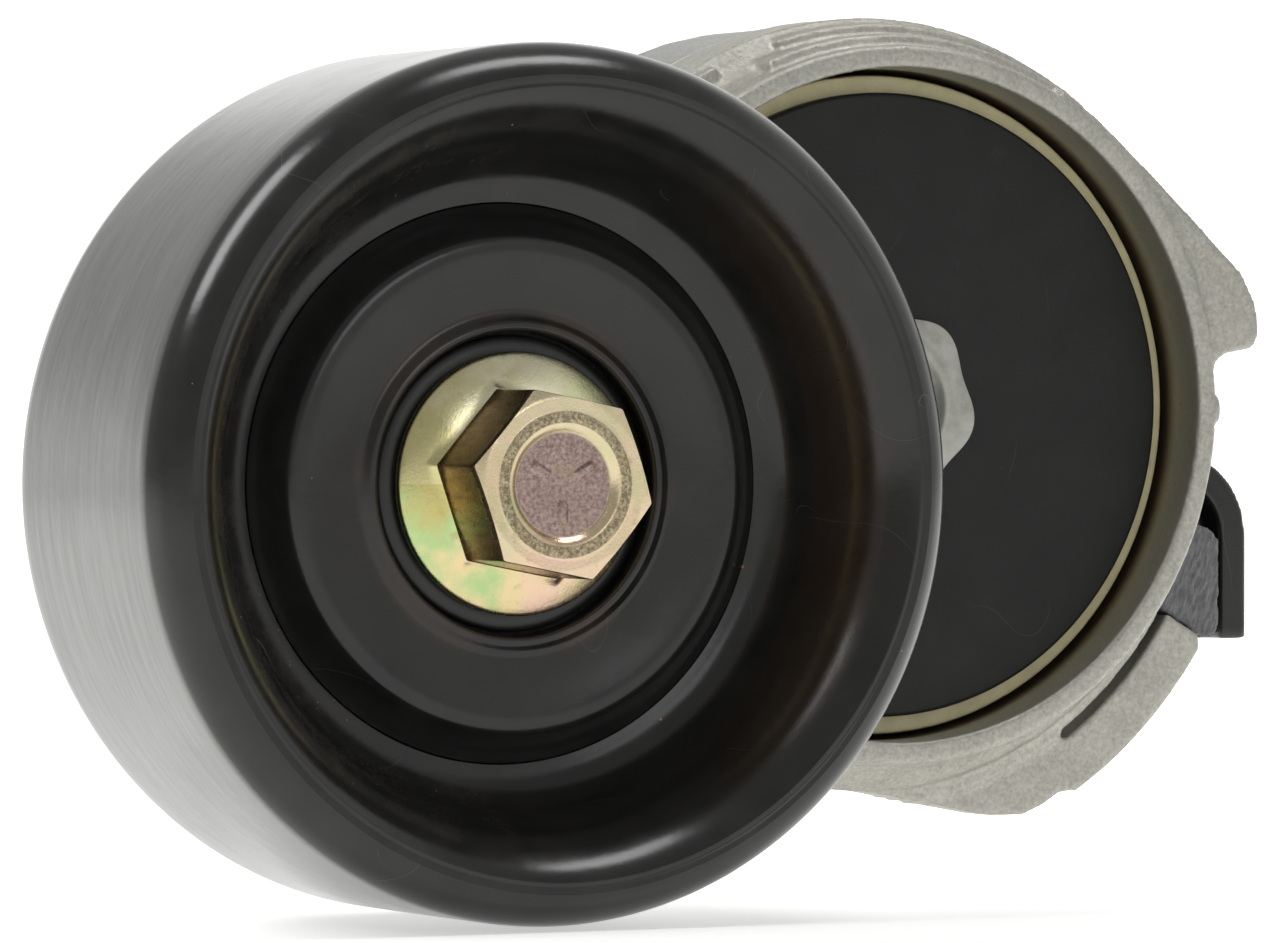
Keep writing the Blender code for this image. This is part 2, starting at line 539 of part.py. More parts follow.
def make_materials():
    return {
        "black_paint": make_material("black paint", (0.012, 0.012, 0.013), 0.32, 0.0),
        "cast_aluminium": make_material("cast aluminium", (0.52, 0.52, 0.50), 0.5, 1.0),
        "zinc": make_material("yellow zinc plate", (0.72, 0.62, 0.36), 0.25, 1.0),
        "nylon": make_material("cream nylon", (0.68, 0.64, 0.45), 0.5, 0.0),
        "steel": make_material("bearing steel", (0.56, 0.57, 0.58), 0.25, 1.0),
        "rubber": make_material("dark rubber", (0.05, 0.05, 0.055), 0.75, 0.0),
        "spring_steel": make_material("oiled spring steel", (0.12, 0.12, 0.13), 0.35, 1.0),
    }


def build():
    for obj in list(bpy.data.objects):
        bpy.data.objects.remove(obj)
    looks = make_materials()
    base = make_axis("base_axis")
    arm_axis = make_axis("arm_axis")
    post_axis = make_axis("post_axis", PULLEY_X, PULLEY_Z, arm_axis)
    pulley_axis = make_axis("pulley_axis", PULLEY_X, PULLEY_Z, arm_axis)
    cage_axis = make_axis("cage_axis", PULLEY_X, PULLEY_Z, arm_axis)
    make_bracket(base, looks)
    make_stop_block(base, looks["rubber"])
    make_spring_case(base, looks["cast_aluminium"])
    make_rivets(base, looks["steel"])
    make_torsion_spring(base, looks["spring_steel"])
    make_pivot_pin(base, looks["steel"])
    make_front_stack(base, looks)
    make_arm(arm_axis, looks)
    make_pulley_fixing(post_axis, looks)
    make_bearing(pulley_axis, post_axis, cage_axis, looks)
    make_pulley_rim(pulley_axis, looks["black_paint"])
    make_pulley_hub(pulley_axis, looks["black_paint"])


build()
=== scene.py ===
"""The finished looks of a spring-loaded belt tensioner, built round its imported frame.

Lengths are in millimetres until a mesh is made. A depth is counted backwards from the pulley's front
plane, every turned axis is parallel to Y, and the arm's pivot axis runs through the world origin.
"""

import json
from math import cos, degrees, pi, radians, sin

import bmesh
import bpy
import numpy as np
from mathutils import Matrix, Vector, noise


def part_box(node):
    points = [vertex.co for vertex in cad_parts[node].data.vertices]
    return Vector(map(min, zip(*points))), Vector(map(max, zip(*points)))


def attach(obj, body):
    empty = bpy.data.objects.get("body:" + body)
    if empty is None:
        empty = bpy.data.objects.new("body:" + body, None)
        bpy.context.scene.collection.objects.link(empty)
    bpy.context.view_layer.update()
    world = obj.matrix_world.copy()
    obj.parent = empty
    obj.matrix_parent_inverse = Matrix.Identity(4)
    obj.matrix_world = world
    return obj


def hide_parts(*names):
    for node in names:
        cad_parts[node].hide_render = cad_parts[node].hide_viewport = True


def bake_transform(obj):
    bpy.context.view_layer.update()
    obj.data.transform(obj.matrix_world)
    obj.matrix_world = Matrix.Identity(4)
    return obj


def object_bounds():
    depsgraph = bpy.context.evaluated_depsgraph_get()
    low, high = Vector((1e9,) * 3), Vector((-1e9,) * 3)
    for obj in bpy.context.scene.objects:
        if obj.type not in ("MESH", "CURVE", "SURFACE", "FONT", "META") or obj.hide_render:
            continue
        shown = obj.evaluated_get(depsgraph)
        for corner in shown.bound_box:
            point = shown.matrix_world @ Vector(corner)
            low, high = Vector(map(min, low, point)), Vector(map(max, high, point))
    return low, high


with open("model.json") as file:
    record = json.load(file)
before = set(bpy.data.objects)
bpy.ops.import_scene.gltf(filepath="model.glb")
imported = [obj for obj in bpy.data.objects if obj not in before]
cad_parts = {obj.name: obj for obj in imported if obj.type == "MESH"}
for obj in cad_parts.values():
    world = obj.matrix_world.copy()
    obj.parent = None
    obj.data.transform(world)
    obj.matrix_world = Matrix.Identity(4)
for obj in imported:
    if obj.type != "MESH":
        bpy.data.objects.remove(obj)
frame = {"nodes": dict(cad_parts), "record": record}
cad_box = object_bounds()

MM = 0.001
STEPS = 256
SMALL_STEPS = 128

# Driving sizes, read from the frame. MOUNT_DEPTH is how far the base's back face lies behind the front plane.
MOUNT_DEPTH = 74.0
FRONT_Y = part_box("mounting_bracket")[1].y - MOUNT_DEPTH * MM
rim_low, rim_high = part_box("pulley_rim")
PULLEY_X = (rim_low.x + rim_high.x) / 2 / MM
PULLEY_Z = (rim_low.z + rim_high.z) / 2 / MM
PULLEY_R = (rim_high.x - rim_low.x) / 2 / MM
PULLEY_WIDTH = (rim_high.y - FRONT_Y) / MM
PULLEY = (PULLEY_X, PULLEY_Z)
PIVOT = (0.0, 0.0)
BODY_OF = {n: body for body, nodes in frame["record"]["behaviour"]["bodies"].items() for n in nodes}


def depth_range(node):
    """The front and back depths of a CAD node."""
    low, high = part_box(node)
    return (low.y - FRONT_Y) / MM, (high.y - FRONT_Y) / MM


def reach(node, x=0.0):
    """How far right of an axis at x a CAD node reaches."""
    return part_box(node)[1].x / MM - x


BOLT_TOP, BOLT_END = depth_range("pulley_bolt")
BEARING_FRONT, BEARING_BACK = depth_range("bearing_outer_race")
BEARING_R = reach("bearing_outer_race", PULLEY_X)
HUB_FRONT, HUB_BACK = depth_range("pulley_hub")
SHIELD_FRONT, SHIELD_BACK = depth_range("front_dust_shield")
SHIELD_R = reach("front_dust_shield", PULLEY_X)
SPACER_FRONT, SPACER_BACK = depth_range("rear_spacer")
SPACER_R = reach("rear_spacer", PULLEY_X)
ARM_BACK = depth_range("arm_casting")[1]
CAP_FRONT, CAP_BACK = depth_range("cap_plate")
CAP_R = reach("cap_plate")
DAMPER_FRONT, DAMPER_BACK = depth_range("damping_ring")
DAMPER_R = reach("damping_ring")
LINER_FRONT, LINER_BACK = depth_range("case_bushing")
LINER_R = reach("case_bushing")
CASE_FRONT, CASE_BACK = depth_range("spring_case")
CASE_R = reach("spring_case")
PIN_FRONT, PIN_BACK = depth_range("pivot_pin")
LUG_FRONT = depth_range("mounting_bracket")[0]
LUG_RIGHT = reach("mounting_bracket")
STOP_FRONT, STOP_BACK = depth_range("stop_block")
SPRING_FRONT, SPRING_BACK = depth_range("torsion_spring")

# Sizes that the frame's boxes don't give
BEAD_R, HUB_LAP_R = 5.15, 24.48
BOLT_FLATS, BOLT_CORNER_R, BOLT_FLANGE_R, BOLT_R, BOLT_HOLE_R = 15.0, 8.62, 11.5, 4.9, 5.4
BOLT_SEAT, THREAD_PITCH, THREAD_DEPTH, THREAD_LENGTH, THREAD_STEP = 11.7, 1.5, 0.55, 8.0, 0.15
RECESS_R, RECESS_DEPTH, DASH_FROM_R, DASH_TO_R, DASH_HALF_WIDTH, DASH_HEIGHT = 4.3, 0.7, 1.4, 3.5, 0.52, 0.22
DASH_TURN, DASH_SOFT = 30, 0.3
HEX_TURN, HEX_BACK, CHAMFER, CHAMFER_FROM_R = -11, 9.35, 0.38, 7.5
RING_FRONT, RING_BORE_R, RING_BORE_BACK = 35.6, 31.17, 45.5
ARM_WALLS, ARM_FLATS = (8.95, RING_BORE_R, 33.2, 36.0, 37.2, 37.6, 38.2, 43.0), (44.0, 45.1, 48.6)
POST_R = 11.5
PIN_R, PIN_HEAD_R, PIN_LOBE, PIN_TAP_R, PIN_TAP_FRONT = 7.0, 8.75, 0.45, 4.3, 56.0
PIN_BOWL_R, PIN_LOBES, PIN_LOBE_TURN = 5.6, 6, 48.0
SPRING_WIRE_R, SPRING_R, SPRING_TURNS, SPRING_START = 2.1, 22.0, 3.0, 60.0
RIVET_PITCH_R, RIVET_R, RIVET_HEAD_R, RIVET_ANGLES = 15.6, 2.0, 3.0, (80, 200, 320)
BALL_R, BALL_PITCH_R, BALL_COUNT = 3.37, 14.25, 8
STRIA_TURN = -20
LUG_TOP, LUG_BOTTOM, LUG_CORNER_R, LUG_LIP = -4.5, -22.5, 8.0, 2.9
RIM_WALL_R, RIM_SHOULDER = 36.0, 31.0


# ---- Meshes ----


def polar(radius, angle):
    """The (x, z) point at this radius, and at this angle in degrees anticlockwise from +X."""
    return radius * cos(radians(angle)), radius * sin(radians(angle))


def arc(radius, start, end, steps, x=0.0, z=0.0):
    angles = [start + (end - start) * i / steps for i in range(steps + 1)]
    return [(x + px, z + pz) for px, pz in (polar(radius, a) for a in angles)]


def place(x, depth, z):
    return Vector((x * MM, FRONT_Y + depth * MM, z * MM))


def new_object(name, bm, sharp=32):
    bmesh.ops.remove_doubles(bm, verts=bm.verts, dist=2e-7)
    bmesh.ops.recalc_face_normals(bm, faces=bm.faces)
    mesh = bpy.data.meshes.new(name)
    bm.to_mesh(mesh)
    bm.free()
    mesh.shade_smooth()
    if sharp:
        mesh.set_sharp_from_angle(angle=radians(sharp))
    obj = bpy.data.objects.new(name, mesh)
    bpy.context.scene.collection.objects.link(obj)
    return obj


def eased(corners, radius, steps=4):
    """A closed outline with each corner rounded. A corner may carry its own radius as a third value."""
    out = []
    count = len(corners)
    for i, corner in enumerate(corners):
        here = Vector(corner[:2])
        before, after = Vector(corners[i - 1][:2]) - here, Vector(corners[(i + 1) % count][:2]) - here
        own = corner[2] if len(corner) > 2 else radius
        if own <= 0 or before.length < 1e-6 or after.length < 1e-6:
            out.append(tuple(here))
            continue
        room = min(own, 0.48 * before.length, 0.48 * after.length)
        start, end = here + before.normalized() * room, here + after.normalized() * room
        for k in range(steps + 1):
            t = k / steps
            out.append(tuple(start * (1 - t) ** 2 + here * 2 * t * (1 - t) + end * t ** 2))
    return out


def grid(name, radii, depths, centre=PIVOT, ring=True, sharp=32):
    """A turned mesh from rows of radii and depths, one column for each step of a full turn."""
    rows, steps = radii.shape
    turn = 2 * pi * np.arange(steps) / steps
    x = centre[0] + radii * np.cos(turn)
    z = centre[1] + radii * np.sin(turn)
    points = np.stack([x * MM, FRONT_Y + depths * MM, z * MM], axis=-1).reshape(-1, 3)
    bm = bmesh.new()
    verts = [bm.verts.new(p) for p in points]
    for i in range(rows if ring else rows - 1):
        for j in range(steps):
            a, b = i * steps + j, i * steps + (j + 1) % steps
            c, d = (a + steps) % (rows * steps), (b + steps) % (rows * steps)
            bm.faces.new((verts[a], verts[b], verts[d], verts[c]))
    return new_object(name, bm, sharp)


class Rings:
    """Rings of points that make a turned mesh. Each radius or depth is one number, or one for each step."""

    def __init__(self, steps):
        self.steps = steps
        self.radii = []
        self.depths = []

    def add(self, radius, depth):
        self.radii.append(np.full(self.steps, radius, dtype=float))
        self.depths.append(np.full(self.steps, depth, dtype=float))

    def build(self, name, centre, sharp=32):
        return grid(name, np.array(self.radii), np.array(self.depths), centre, False, sharp)


def turned(name, corners, centre=PIVOT, radius=0.25, steps=SMALL_STEPS, sharp=32):
    """A full turn of a closed (radius, depth) outline with eased corners, open where it meets the axis."""
    on_axis = min(c[0] for c in corners) <= 0
    corners = [(c[0], c[1], 0.0) if c[0] <= 0 else c for c in corners]
    profile = np.array(eased(corners, radius))
    radii = np.repeat(profile[:, :1], steps, axis=1)
    depths = np.repeat(profile[:, 1:], steps, axis=1)
    return grid(name, radii, depths, centre, not on_axis, sharp)


def tube_object(name, points, radius, taper=False):
    """A closed round tube along points, as a mesh."""
    curve = bpy.data.curves.new(name, "CURVE")
    curve.dimensions = "3D"
    curve.bevel_depth = radius * MM
    curve.bevel_resolution = 4
    curve.use_fill_caps = True
    spline = curve.splines.new("POLY")
    spline.points.add(len(points) - 1)
    for i, (control, where) in enumerate(zip(spline.points, points)):
        control.co = (*place(*where), 1.0)
        control.radius = sin(pi * (i + 0.5) / len(points)) ** 0.5 if taper else 1.0
    source = bpy.data.objects.new(name, curve)
    bpy.context.scene.collection.objects.link(source)
    return as_mesh(source, name)


def as_mesh(source, name):
    """A new plain object from the evaluated mesh of source, which goes away."""
    evaluated = source.evaluated_get(bpy.context.evaluated_depsgraph_get())
    mesh = bpy.data.meshes.new_from_object(evaluated)
    bpy.data.objects.remove(source)
    mesh.name = name
    mesh.materials.clear()
    obj = bpy.data.objects.new(name, mesh)
    bpy.context.scene.collection.objects.link(obj)
    return obj


def refined(name, node, voxel, passes, extras=()):
    """A fine mesh made from a CAD solid and extra solids: joined, remeshed and eased at its edges."""
    bm = bmesh.new()
    bm.from_mesh(frame["nodes"][node].data)
    for extra in extras:
        bm.from_mesh(extra.data)
        bpy.data.objects.remove(extra)
    bmesh.ops.remove_doubles(bm, verts=bm.verts, dist=1e-6)
    bmesh.ops.triangulate(bm, faces=bm.faces)
    source = new_object(name + "_source", bm, 0)
    remesh = source.modifiers.new("Remesh", "REMESH")
    remesh.mode = "VOXEL"
    remesh.voxel_size = voxel * MM
    ease = source.modifiers.new("Ease", "SMOOTH")
    ease.factor = 0.5
    ease.iterations = passes
    obj = as_mesh(source, name)
    obj.data.shade_smooth()
    return obj


def coordinates(obj):
    """The mesh's points and normals as arrays, with depths in the middle column, in millimetres."""
    count = len(obj.data.vertices)
    points, normals = np.empty(count * 3, np.float32), np.empty(count * 3, np.float32)
    obj.data.vertices.foreach_get("co", points)
    obj.data.vertices.foreach_get("normal", normals)
    points = points.reshape(-1, 3).astype(float) / MM
    points[:, 1] -= FRONT_Y / MM
    return points, normals.reshape(-1, 3).astype(float)


def put_back(obj, points):
    out = points.copy()
    out[:, 1] += FRONT_Y / MM
    obj.data.vertices.foreach_set("co", (out * MM).astype(np.float32).ravel())
    obj.data.update()


def true_up(obj, walls=(), flats=(), tolerance=0.16):
    """Moves points that lie near a round wall (x, z, radius) or a flat depth exactly onto it."""
    points, normals = coordinates(obj)
    for x, z, radius in walls:
        dx, dz = points[:, 0] - x, points[:, 2] - z
        far = np.hypot(dx, dz)
        facing = np.abs(dx * normals[:, 0] + dz * normals[:, 2]) / np.maximum(far, 1e-9) > 0.9
        near = (np.abs(far - radius) < tolerance) & facing
        points[near, 0] = x + dx[near] * radius / far[near]
        points[near, 2] = z + dz[near] * radius / far[near]
    for depth in flats:
        near = (np.abs(points[:, 1] - depth) < tolerance) & (np.abs(normals[:, 1]) > 0.9)
        points[near, 1] = depth
    put_back(obj, points)


def roughen(obj, layers, keep=None, stretch=None):
    """Pushes points along their normals by layers of (size, height) noise. keep scales it point by point."""
    points, normals = coordinates(obj)
    moved = np.zeros(len(points))
    sampled = points if stretch is None else points @ np.array(stretch).T
    for size, height in layers:
        moved += height * np.array([noise.noise(Vector(p / size)) for p in sampled])
    if keep is not None:
        moved *= keep(points)
    put_back(obj, points + normals * moved[:, None])


# ---- Materials ----


class Look:
    """One Principled material, with short-hand for the nodes that drive it. Sizes are in millimetres."""

    def __init__(self, name, colour, roughness, metallic=0.0, centre=PIVOT, **sockets):
        self.material = bpy.data.materials.new(name)
        self.material.use_nodes = True
        self.tree = self.material.node_tree
        self.shader = self.tree.nodes["Principled BSDF"]
        self.set(self.shader, "Base Color", (*colour, 1.0))
        self.set(self.shader, "Roughness", roughness)
        self.set(self.shader, "Metallic", metallic)
        for socket, value in sockets.items():
            self.set(self.shader, socket.replace("_", " "), value)
        source = self.add("ShaderNodeTexCoord")
        shifted = self.vector("SUBTRACT", source.outputs["Object"], place(centre[0], 0.0, centre[1]))
        self.place = self.vector("SCALE", shifted, scale=1 / MM)
        self.normal = source.outputs["Normal"]
        parts = self.add("ShaderNodeSeparateXYZ", Vector=self.place)
        self.x, self.depth, self.z = parts.outputs
        self.radius = self.math("SQRT", self.math("ADD", self.math("POWER", self.x, 2.0),
                                                  self.math("POWER", self.z, 2.0)))

    def set(self, node, socket, value):
        target = node.inputs[socket]
        if isinstance(value, bpy.types.NodeSocket):
            self.tree.links.new(value, target)
        else:
            target.default_value = value

    def add(self, kind, **inputs):
        node = self.tree.nodes.new(kind)
        for socket, value in inputs.items():
            self.set(node, socket, value)
        return node

    def vector(self, operation, a, b=None, scale=None):
        node = self.add("ShaderNodeVectorMath")
        node.operation = operation
        self.set(node, 0, a)
        if b is not None:
            self.set(node, 1, b)
        if scale is not None:
            self.set(node, "Scale", scale)
        return node.outputs["Vector"]

    def math(self, operation, a, b=None):
        node = self.add("ShaderNodeMath")
        node.operation = operation
        self.set(node, 0, a)
        if b is not None:
            self.set(node, 1, b)
        return node.outputs["Value"]

    def times(self, a, b):
        return self.math("MULTIPLY", a, b)

    def noise(self, size, detail=2.0, roughness=0.5, stretch=None, turn=0.0):
        """Grey noise with features of this size. It is turned about Y, then squeezed along X, Y and Z."""
        where = self.place
        if turn:
            rotate = self.add("ShaderNodeVectorRotate", Vector=where, Angle=radians(turn))
            rotate.rotation_type = "Y_AXIS"
            where = rotate.outputs["Vector"]
        if stretch:
            where = self.vector("MULTIPLY", where, stretch)
        node = self.add("ShaderNodeTexNoise", Vector=where, Scale=1 / size, Detail=detail,
                        Roughness=roughness)
        return node.outputs["Fac"]

    def band(self, value, low, high, soft):
        """1 where value is between low and high, falling to 0 over soft."""
        rise = self.step(value, low - soft, low)
        fall = self.step(value, high, high + soft)
        return self.times(rise, self.math("SUBTRACT", 1.0, fall))

    def step(self, value, low, high):
        """0 below low, 1 above high and smooth between them."""
        node = self.add("ShaderNodeMapRange")
        node.interpolation_type = "SMOOTHSTEP"
        self.set(node, "Value", value)
        self.set(node, "From Min", low)
        self.set(node, "From Max", high)
        return node.outputs["Result"]

    def specks(self, cell, size, share, seed=0.0):
        """1 on small round specks: one to a cell of this size, in this share of the cells."""
        flat = self.vector("MULTIPLY", self.place, (1.0, 0.35, 1.0))
        where = self.vector("ADD", flat, (seed, seed * 1.7, seed * 0.6))
        node = self.add("ShaderNodeTexVoronoi", Vector=where, Scale=1 / cell, Randomness=1.0)
        dot = self.math("LESS_THAN", node.outputs["Distance"], size / cell)
        parts = self.add("ShaderNodeSeparateColor", Color=node.outputs["Color"])
        return self.times(dot, self.math("LESS_THAN", parts.outputs[0], share))

    def hairs(self, size, width, seed):
        """1 on thin wandering lines, in patches."""
        where = self.vector("ADD", self.place, (seed, -seed, seed * 2.3))
        line = self.add("ShaderNodeTexNoise", Vector=where, Scale=1 / size, Detail=0.0).outputs["Fac"]
        near = self.math("LESS_THAN", self.math("ABSOLUTE", self.math("SUBTRACT", line, 0.5)), width)
        patch = self.add("ShaderNodeTexNoise", Vector=where, Scale=0.7 / size, Detail=1.0).outputs["Fac"]
        return self.times(near, self.step(patch, 0.6, 0.66))

    def ramp(self, value, stops):
        node = self.add("ShaderNodeValToRGB", Fac=value)
        ramp = node.color_ramp
        while len(ramp.elements) < len(stops):
            ramp.elements.new(1.0)
        for element, (position, colour) in zip(ramp.elements, stops):
            element.position = position
            element.color = (*colour, 1.0)
        return node.outputs["Color"]

    def mix(self, share, a, b):
        node = self.add("ShaderNodeMix")
        node.data_type = "RGBA"
        self.set(node, "Factor", share)
        for index, colour in ((6, a), (7, b)):
            self.set(node, index, colour if isinstance(colour, bpy.types.NodeSocket) else (*colour, 1.0))
        return node.outputs[2]

    def scaled(self, value, low, high):
        """value, taken from 0..1 to low..high."""
        return self.math("ADD", self.times(value, high - low), low)

    def bump(self, height, distance, below=None):
        node = self.add("ShaderNodeBump", Height=height, Distance=distance * MM, Strength=1.0)
        if below is not None:
            self.set(node, "Normal", below)
        return node.outputs["Normal"]

    def finish(self, colour=None, roughness=None, normal=None):
        for socket, value in (("Base Color", colour), ("Roughness", roughness), ("Normal", normal)):
            if value is not None:
                self.set(self.shader, socket, value)
        return self.material


def pulley_paint():
    """Satin black over pressed steel: dust in the valley, brown tinges, orange-peel and fine specks."""
    look = Look("pulley black paint", (0.008, 0.008, 0.0078), 0.25, centre=PULLEY)
    mottle = look.noise(5.0, 4.0, 0.6)
    colour = look.ramp(mottle, [(0.3, (0.007, 0.007, 0.0066)), (0.7, (0.015, 0.0147, 0.0137))])
    in_front = look.math("LESS_THAN", look.depth, 16.5)
    valley = look.times(look.band(look.radius, 25.0, 31.5, 1.5), in_front)
    left = look.step(look.x, 12.0, -16.0)
    patches = look.step(look.noise(4.0, 4.0, 0.65), 0.4, 0.7)
    haze = look.times(look.times(valley, left), patches)
    colour = look.mix(look.times(haze, 0.30), colour, (0.042, 0.036, 0.027))
    hub_ring = look.times(look.band(look.radius, 13.8, 15.2, 0.7), look.step(look.noise(9.0), 0.42, 0.62))
    right = look.times(look.band(look.radius, 29.0, 31.4, 0.9), look.step(look.x, 12.0, 24.0))
    colour = look.mix(look.times(hub_ring, 0.35), colour, (0.050, 0.026, 0.014))
    colour = look.mix(look.times(look.times(right, in_front), 0.22), colour, (0.060, 0.032, 0.016))
    back_edge = look.step(look.depth, PULLEY_WIDTH - 0.5, PULLEY_WIDTH - 0.1)
    colour = look.mix(look.times(back_edge, 0.6), colour, (0.16, 0.08, 0.035))
    dusty = look.times(look.specks(0.9, 0.06, 0.5), look.step(haze, 0.08, 0.45))
    stray = look.times(look.specks(2.6, 0.075, 0.35, 7.0), in_front)
    colour = look.mix(look.math("MAXIMUM", dusty, stray), colour, (0.26, 0.21, 0.14))
    low_right = look.times(look.step(look.x, 2.0, 14.0), look.step(look.z, -2.0, -12.0))
    rust = look.times(look.specks(3.6, 0.14, 0.4, 21.0), look.times(low_right, in_front))
    colour = look.mix(rust, colour, (0.38, 0.14, 0.04))
    scratches = look.math("MAXIMUM", look.hairs(14.0, 0.0009, 3.0), look.hairs(6.0, 0.0014, 9.0))
    colour = look.mix(look.times(scratches, 0.6), colour, (0.085, 0.08, 0.07))
    smudge = look.math("ADD", look.times(look.noise(16.0, 3.0, 0.6), 0.7), look.times(mottle, 0.3))
    roughness = look.math("ADD", look.scaled(smudge, 0.10, 0.30), look.times(haze, 0.15))
    belt_face = look.times(look.step(look.radius, PULLEY_R - 0.2, PULLEY_R - 0.01),
                          look.step(look.depth, PULLEY_WIDTH - 1.6, PULLEY_WIDTH - 2.6))
    streaks = look.noise(1.0, 4.0, 0.6, (0.12, 1.6, 0.12))
    burnish = look.ramp(streaks, [(0.3, (0.155, 0.155, 0.15)), (0.7, (0.205, 0.205, 0.2))])
    colour = look.mix(belt_face, colour, burnish)
    look.set(look.shader, "Metallic", belt_face)
    normal = look.bump(look.noise(0.9, 3.0, 0.6), 0.010)
    normal = look.bump(look.noise(7.0, 2.0), 0.05, normal)
    return look.finish(colour, roughness, normal)


def black_coat(name, colour, roughness, wear, centre=PIVOT, brown_edge=False, specular=0.5):
    """Black coat with faint scratches and specks. wear is how much shows."""
    look = Look(name, colour, roughness, centre=centre, Specular_IOR_Level=specular)
    low, high = (tuple(c * k for c in colour) for k in (0.75, 1.45))
    base = look.ramp(look.noise(6.0, 4.0, 0.6), [(0.3, low), (0.7, high)])
    fine = look.noise(0.22, 2.0, 0.7)
    base = look.mix(look.times(look.step(fine, 0.58, 0.8), 0.2), base, (0.05, 0.048, 0.042))
    scratches = look.math("MAXIMUM", look.hairs(9.0, 0.0011, 5.0), look.hairs(17.0, 0.0008, 11.0))
    base = look.mix(look.times(scratches, wear), base, (0.11, 0.10, 0.085))
    base = look.mix(look.specks(3.4, 0.09, 0.35, 4.0), base, (0.24, 0.21, 0.15))
    scuffs = look.step(look.noise(4.5, 5.0, 0.75), 0.62, 0.75)
    base = look.mix(look.times(scuffs, 0.25 * wear), base, (0.09, 0.085, 0.07))
    if brown_edge:
        centre_x, centre_z = LUG_RIGHT - LUG_CORNER_R, LUG_TOP - LUG_CORNER_R
        across = look.math("POWER", look.math("SUBTRACT", look.x, centre_x), 2.0)
        above = look.math("MAXIMUM", look.math("SUBTRACT", look.z, centre_z), 0.0)
        out = look.math("SQRT", look.math("ADD", across, look.math("POWER", above, 2.0)))
        on_edge = look.times(look.step(out, LUG_CORNER_R - 0.5, LUG_CORNER_R - 0.05),
                            look.step(look.x, centre_x, centre_x + 0.5))
        worn = look.times(on_edge, look.step(look.noise(2.2, 3.0, 0.6), 0.3, 0.6))
        base = look.mix(look.times(worn, 0.7), base, (0.13, 0.075, 0.032))
    rough = look.scaled(look.noise(8.0, 3.0, 0.6), roughness - 0.1, roughness + 0.12)
    normal = look.bump(look.noise(0.5, 3.0, 0.65), 0.012)
    return look.finish(base, rough, normal)


def cast_aluminium(name, tint, bore=True):
    """Bare die casting: mottled grain, stains and fine pits, and a smoother bore painted lighter, partly for
    its machined finish and partly as painted light in its shade, with painted shade and a painted reflection
    of the damping ring in brown deep inside.
    """
    look = Look(name, tint, 0.5, 1.0)
    grain = look.noise(0.42, 4.0, 0.7)
    clouds = look.noise(3.5, 3.0, 0.55)
    dark, mid, light = (tuple(t * k for t in tint) for k in (0.62, 0.95, 1.3))
    colour = look.ramp(grain, [(0.30, dark), (0.5, mid), (0.70, light)])
    cloudy = look.ramp(clouds, [(0.3, tuple(t * 0.82 for t in tint)), (0.7, tuple(t * 1.08 for t in tint))])
    colour = look.mix(0.45, colour, cloudy)
    stain = look.step(look.noise(5.5, 4.0, 0.65), 0.64, 0.76)
    colour = look.mix(look.times(stain, 0.35), colour, (0.34, 0.27, 0.15))
    pits = look.specks(1.1, 0.09, 0.3, 2.0)
    colour = look.mix(look.times(pits, 0.6), colour, tuple(t * 0.4 for t in tint))
    rough = look.scaled(look.noise(0.3, 2.0, 0.6), 0.42, 0.68)
    height = look.math("ADD", look.times(grain, 0.7), look.times(look.noise(1.3), 0.5))
    amount = 1.0
    if bore:
        inside = look.times(look.step(look.radius, RING_BORE_R + 0.22, RING_BORE_R + 0.05),
                           look.step(look.depth, RING_FRONT, RING_FRONT + 0.35))
        # Lighter bore colour: partly its machined finish, partly painted light lifting the shade inside the
        # bore.
        colour = look.mix(look.times(inside, 0.6), colour, (0.52, 0.50, 0.42))
        # Brown deep in the bore, towards the damping ring: painted shade of the gap and a painted reflection
        # of the ring.
        deep_painted_shade = look.times(inside, look.step(look.depth, 39.5, 41.6))
        colour = look.mix(look.times(deep_painted_shade, 0.75), colour, (0.14, 0.085, 0.03))
        amount = look.scaled(inside, 1.0, 0.4)
    height = look.times(height, amount)
    normal = look.bump(height, 0.07)
    return look.finish(colour, rough, normal)


def swaged_aluminium():
    """Smooth swaged metal with a darker bowl."""
    look = Look("swaged aluminium", (0.40, 0.40, 0.37), 0.42, 1.0)
    colour = look.ramp(look.noise(1.6, 4.0, 0.6), [(0.3, (0.30, 0.30, 0.27)), (0.7, (0.44, 0.44, 0.40))])
    colour = look.mix(look.times(look.hairs(3.0, 0.004, 2.0), 0.4), colour, (0.3, 0.3, 0.29))
    bowl = look.times(look.step(look.radius, PIN_BOWL_R, 4.4),
                      look.step(look.depth, PIN_FRONT + 0.6, PIN_FRONT + 1.2))
    colour = look.mix(look.times(bowl, 0.7), colour, (0.16, 0.155, 0.145))
    rough = look.scaled(look.noise(0.8, 3.0), 0.36, 0.56)
    return look.finish(colour, rough, look.bump(look.noise(0.35, 3.0, 0.6), 0.018))


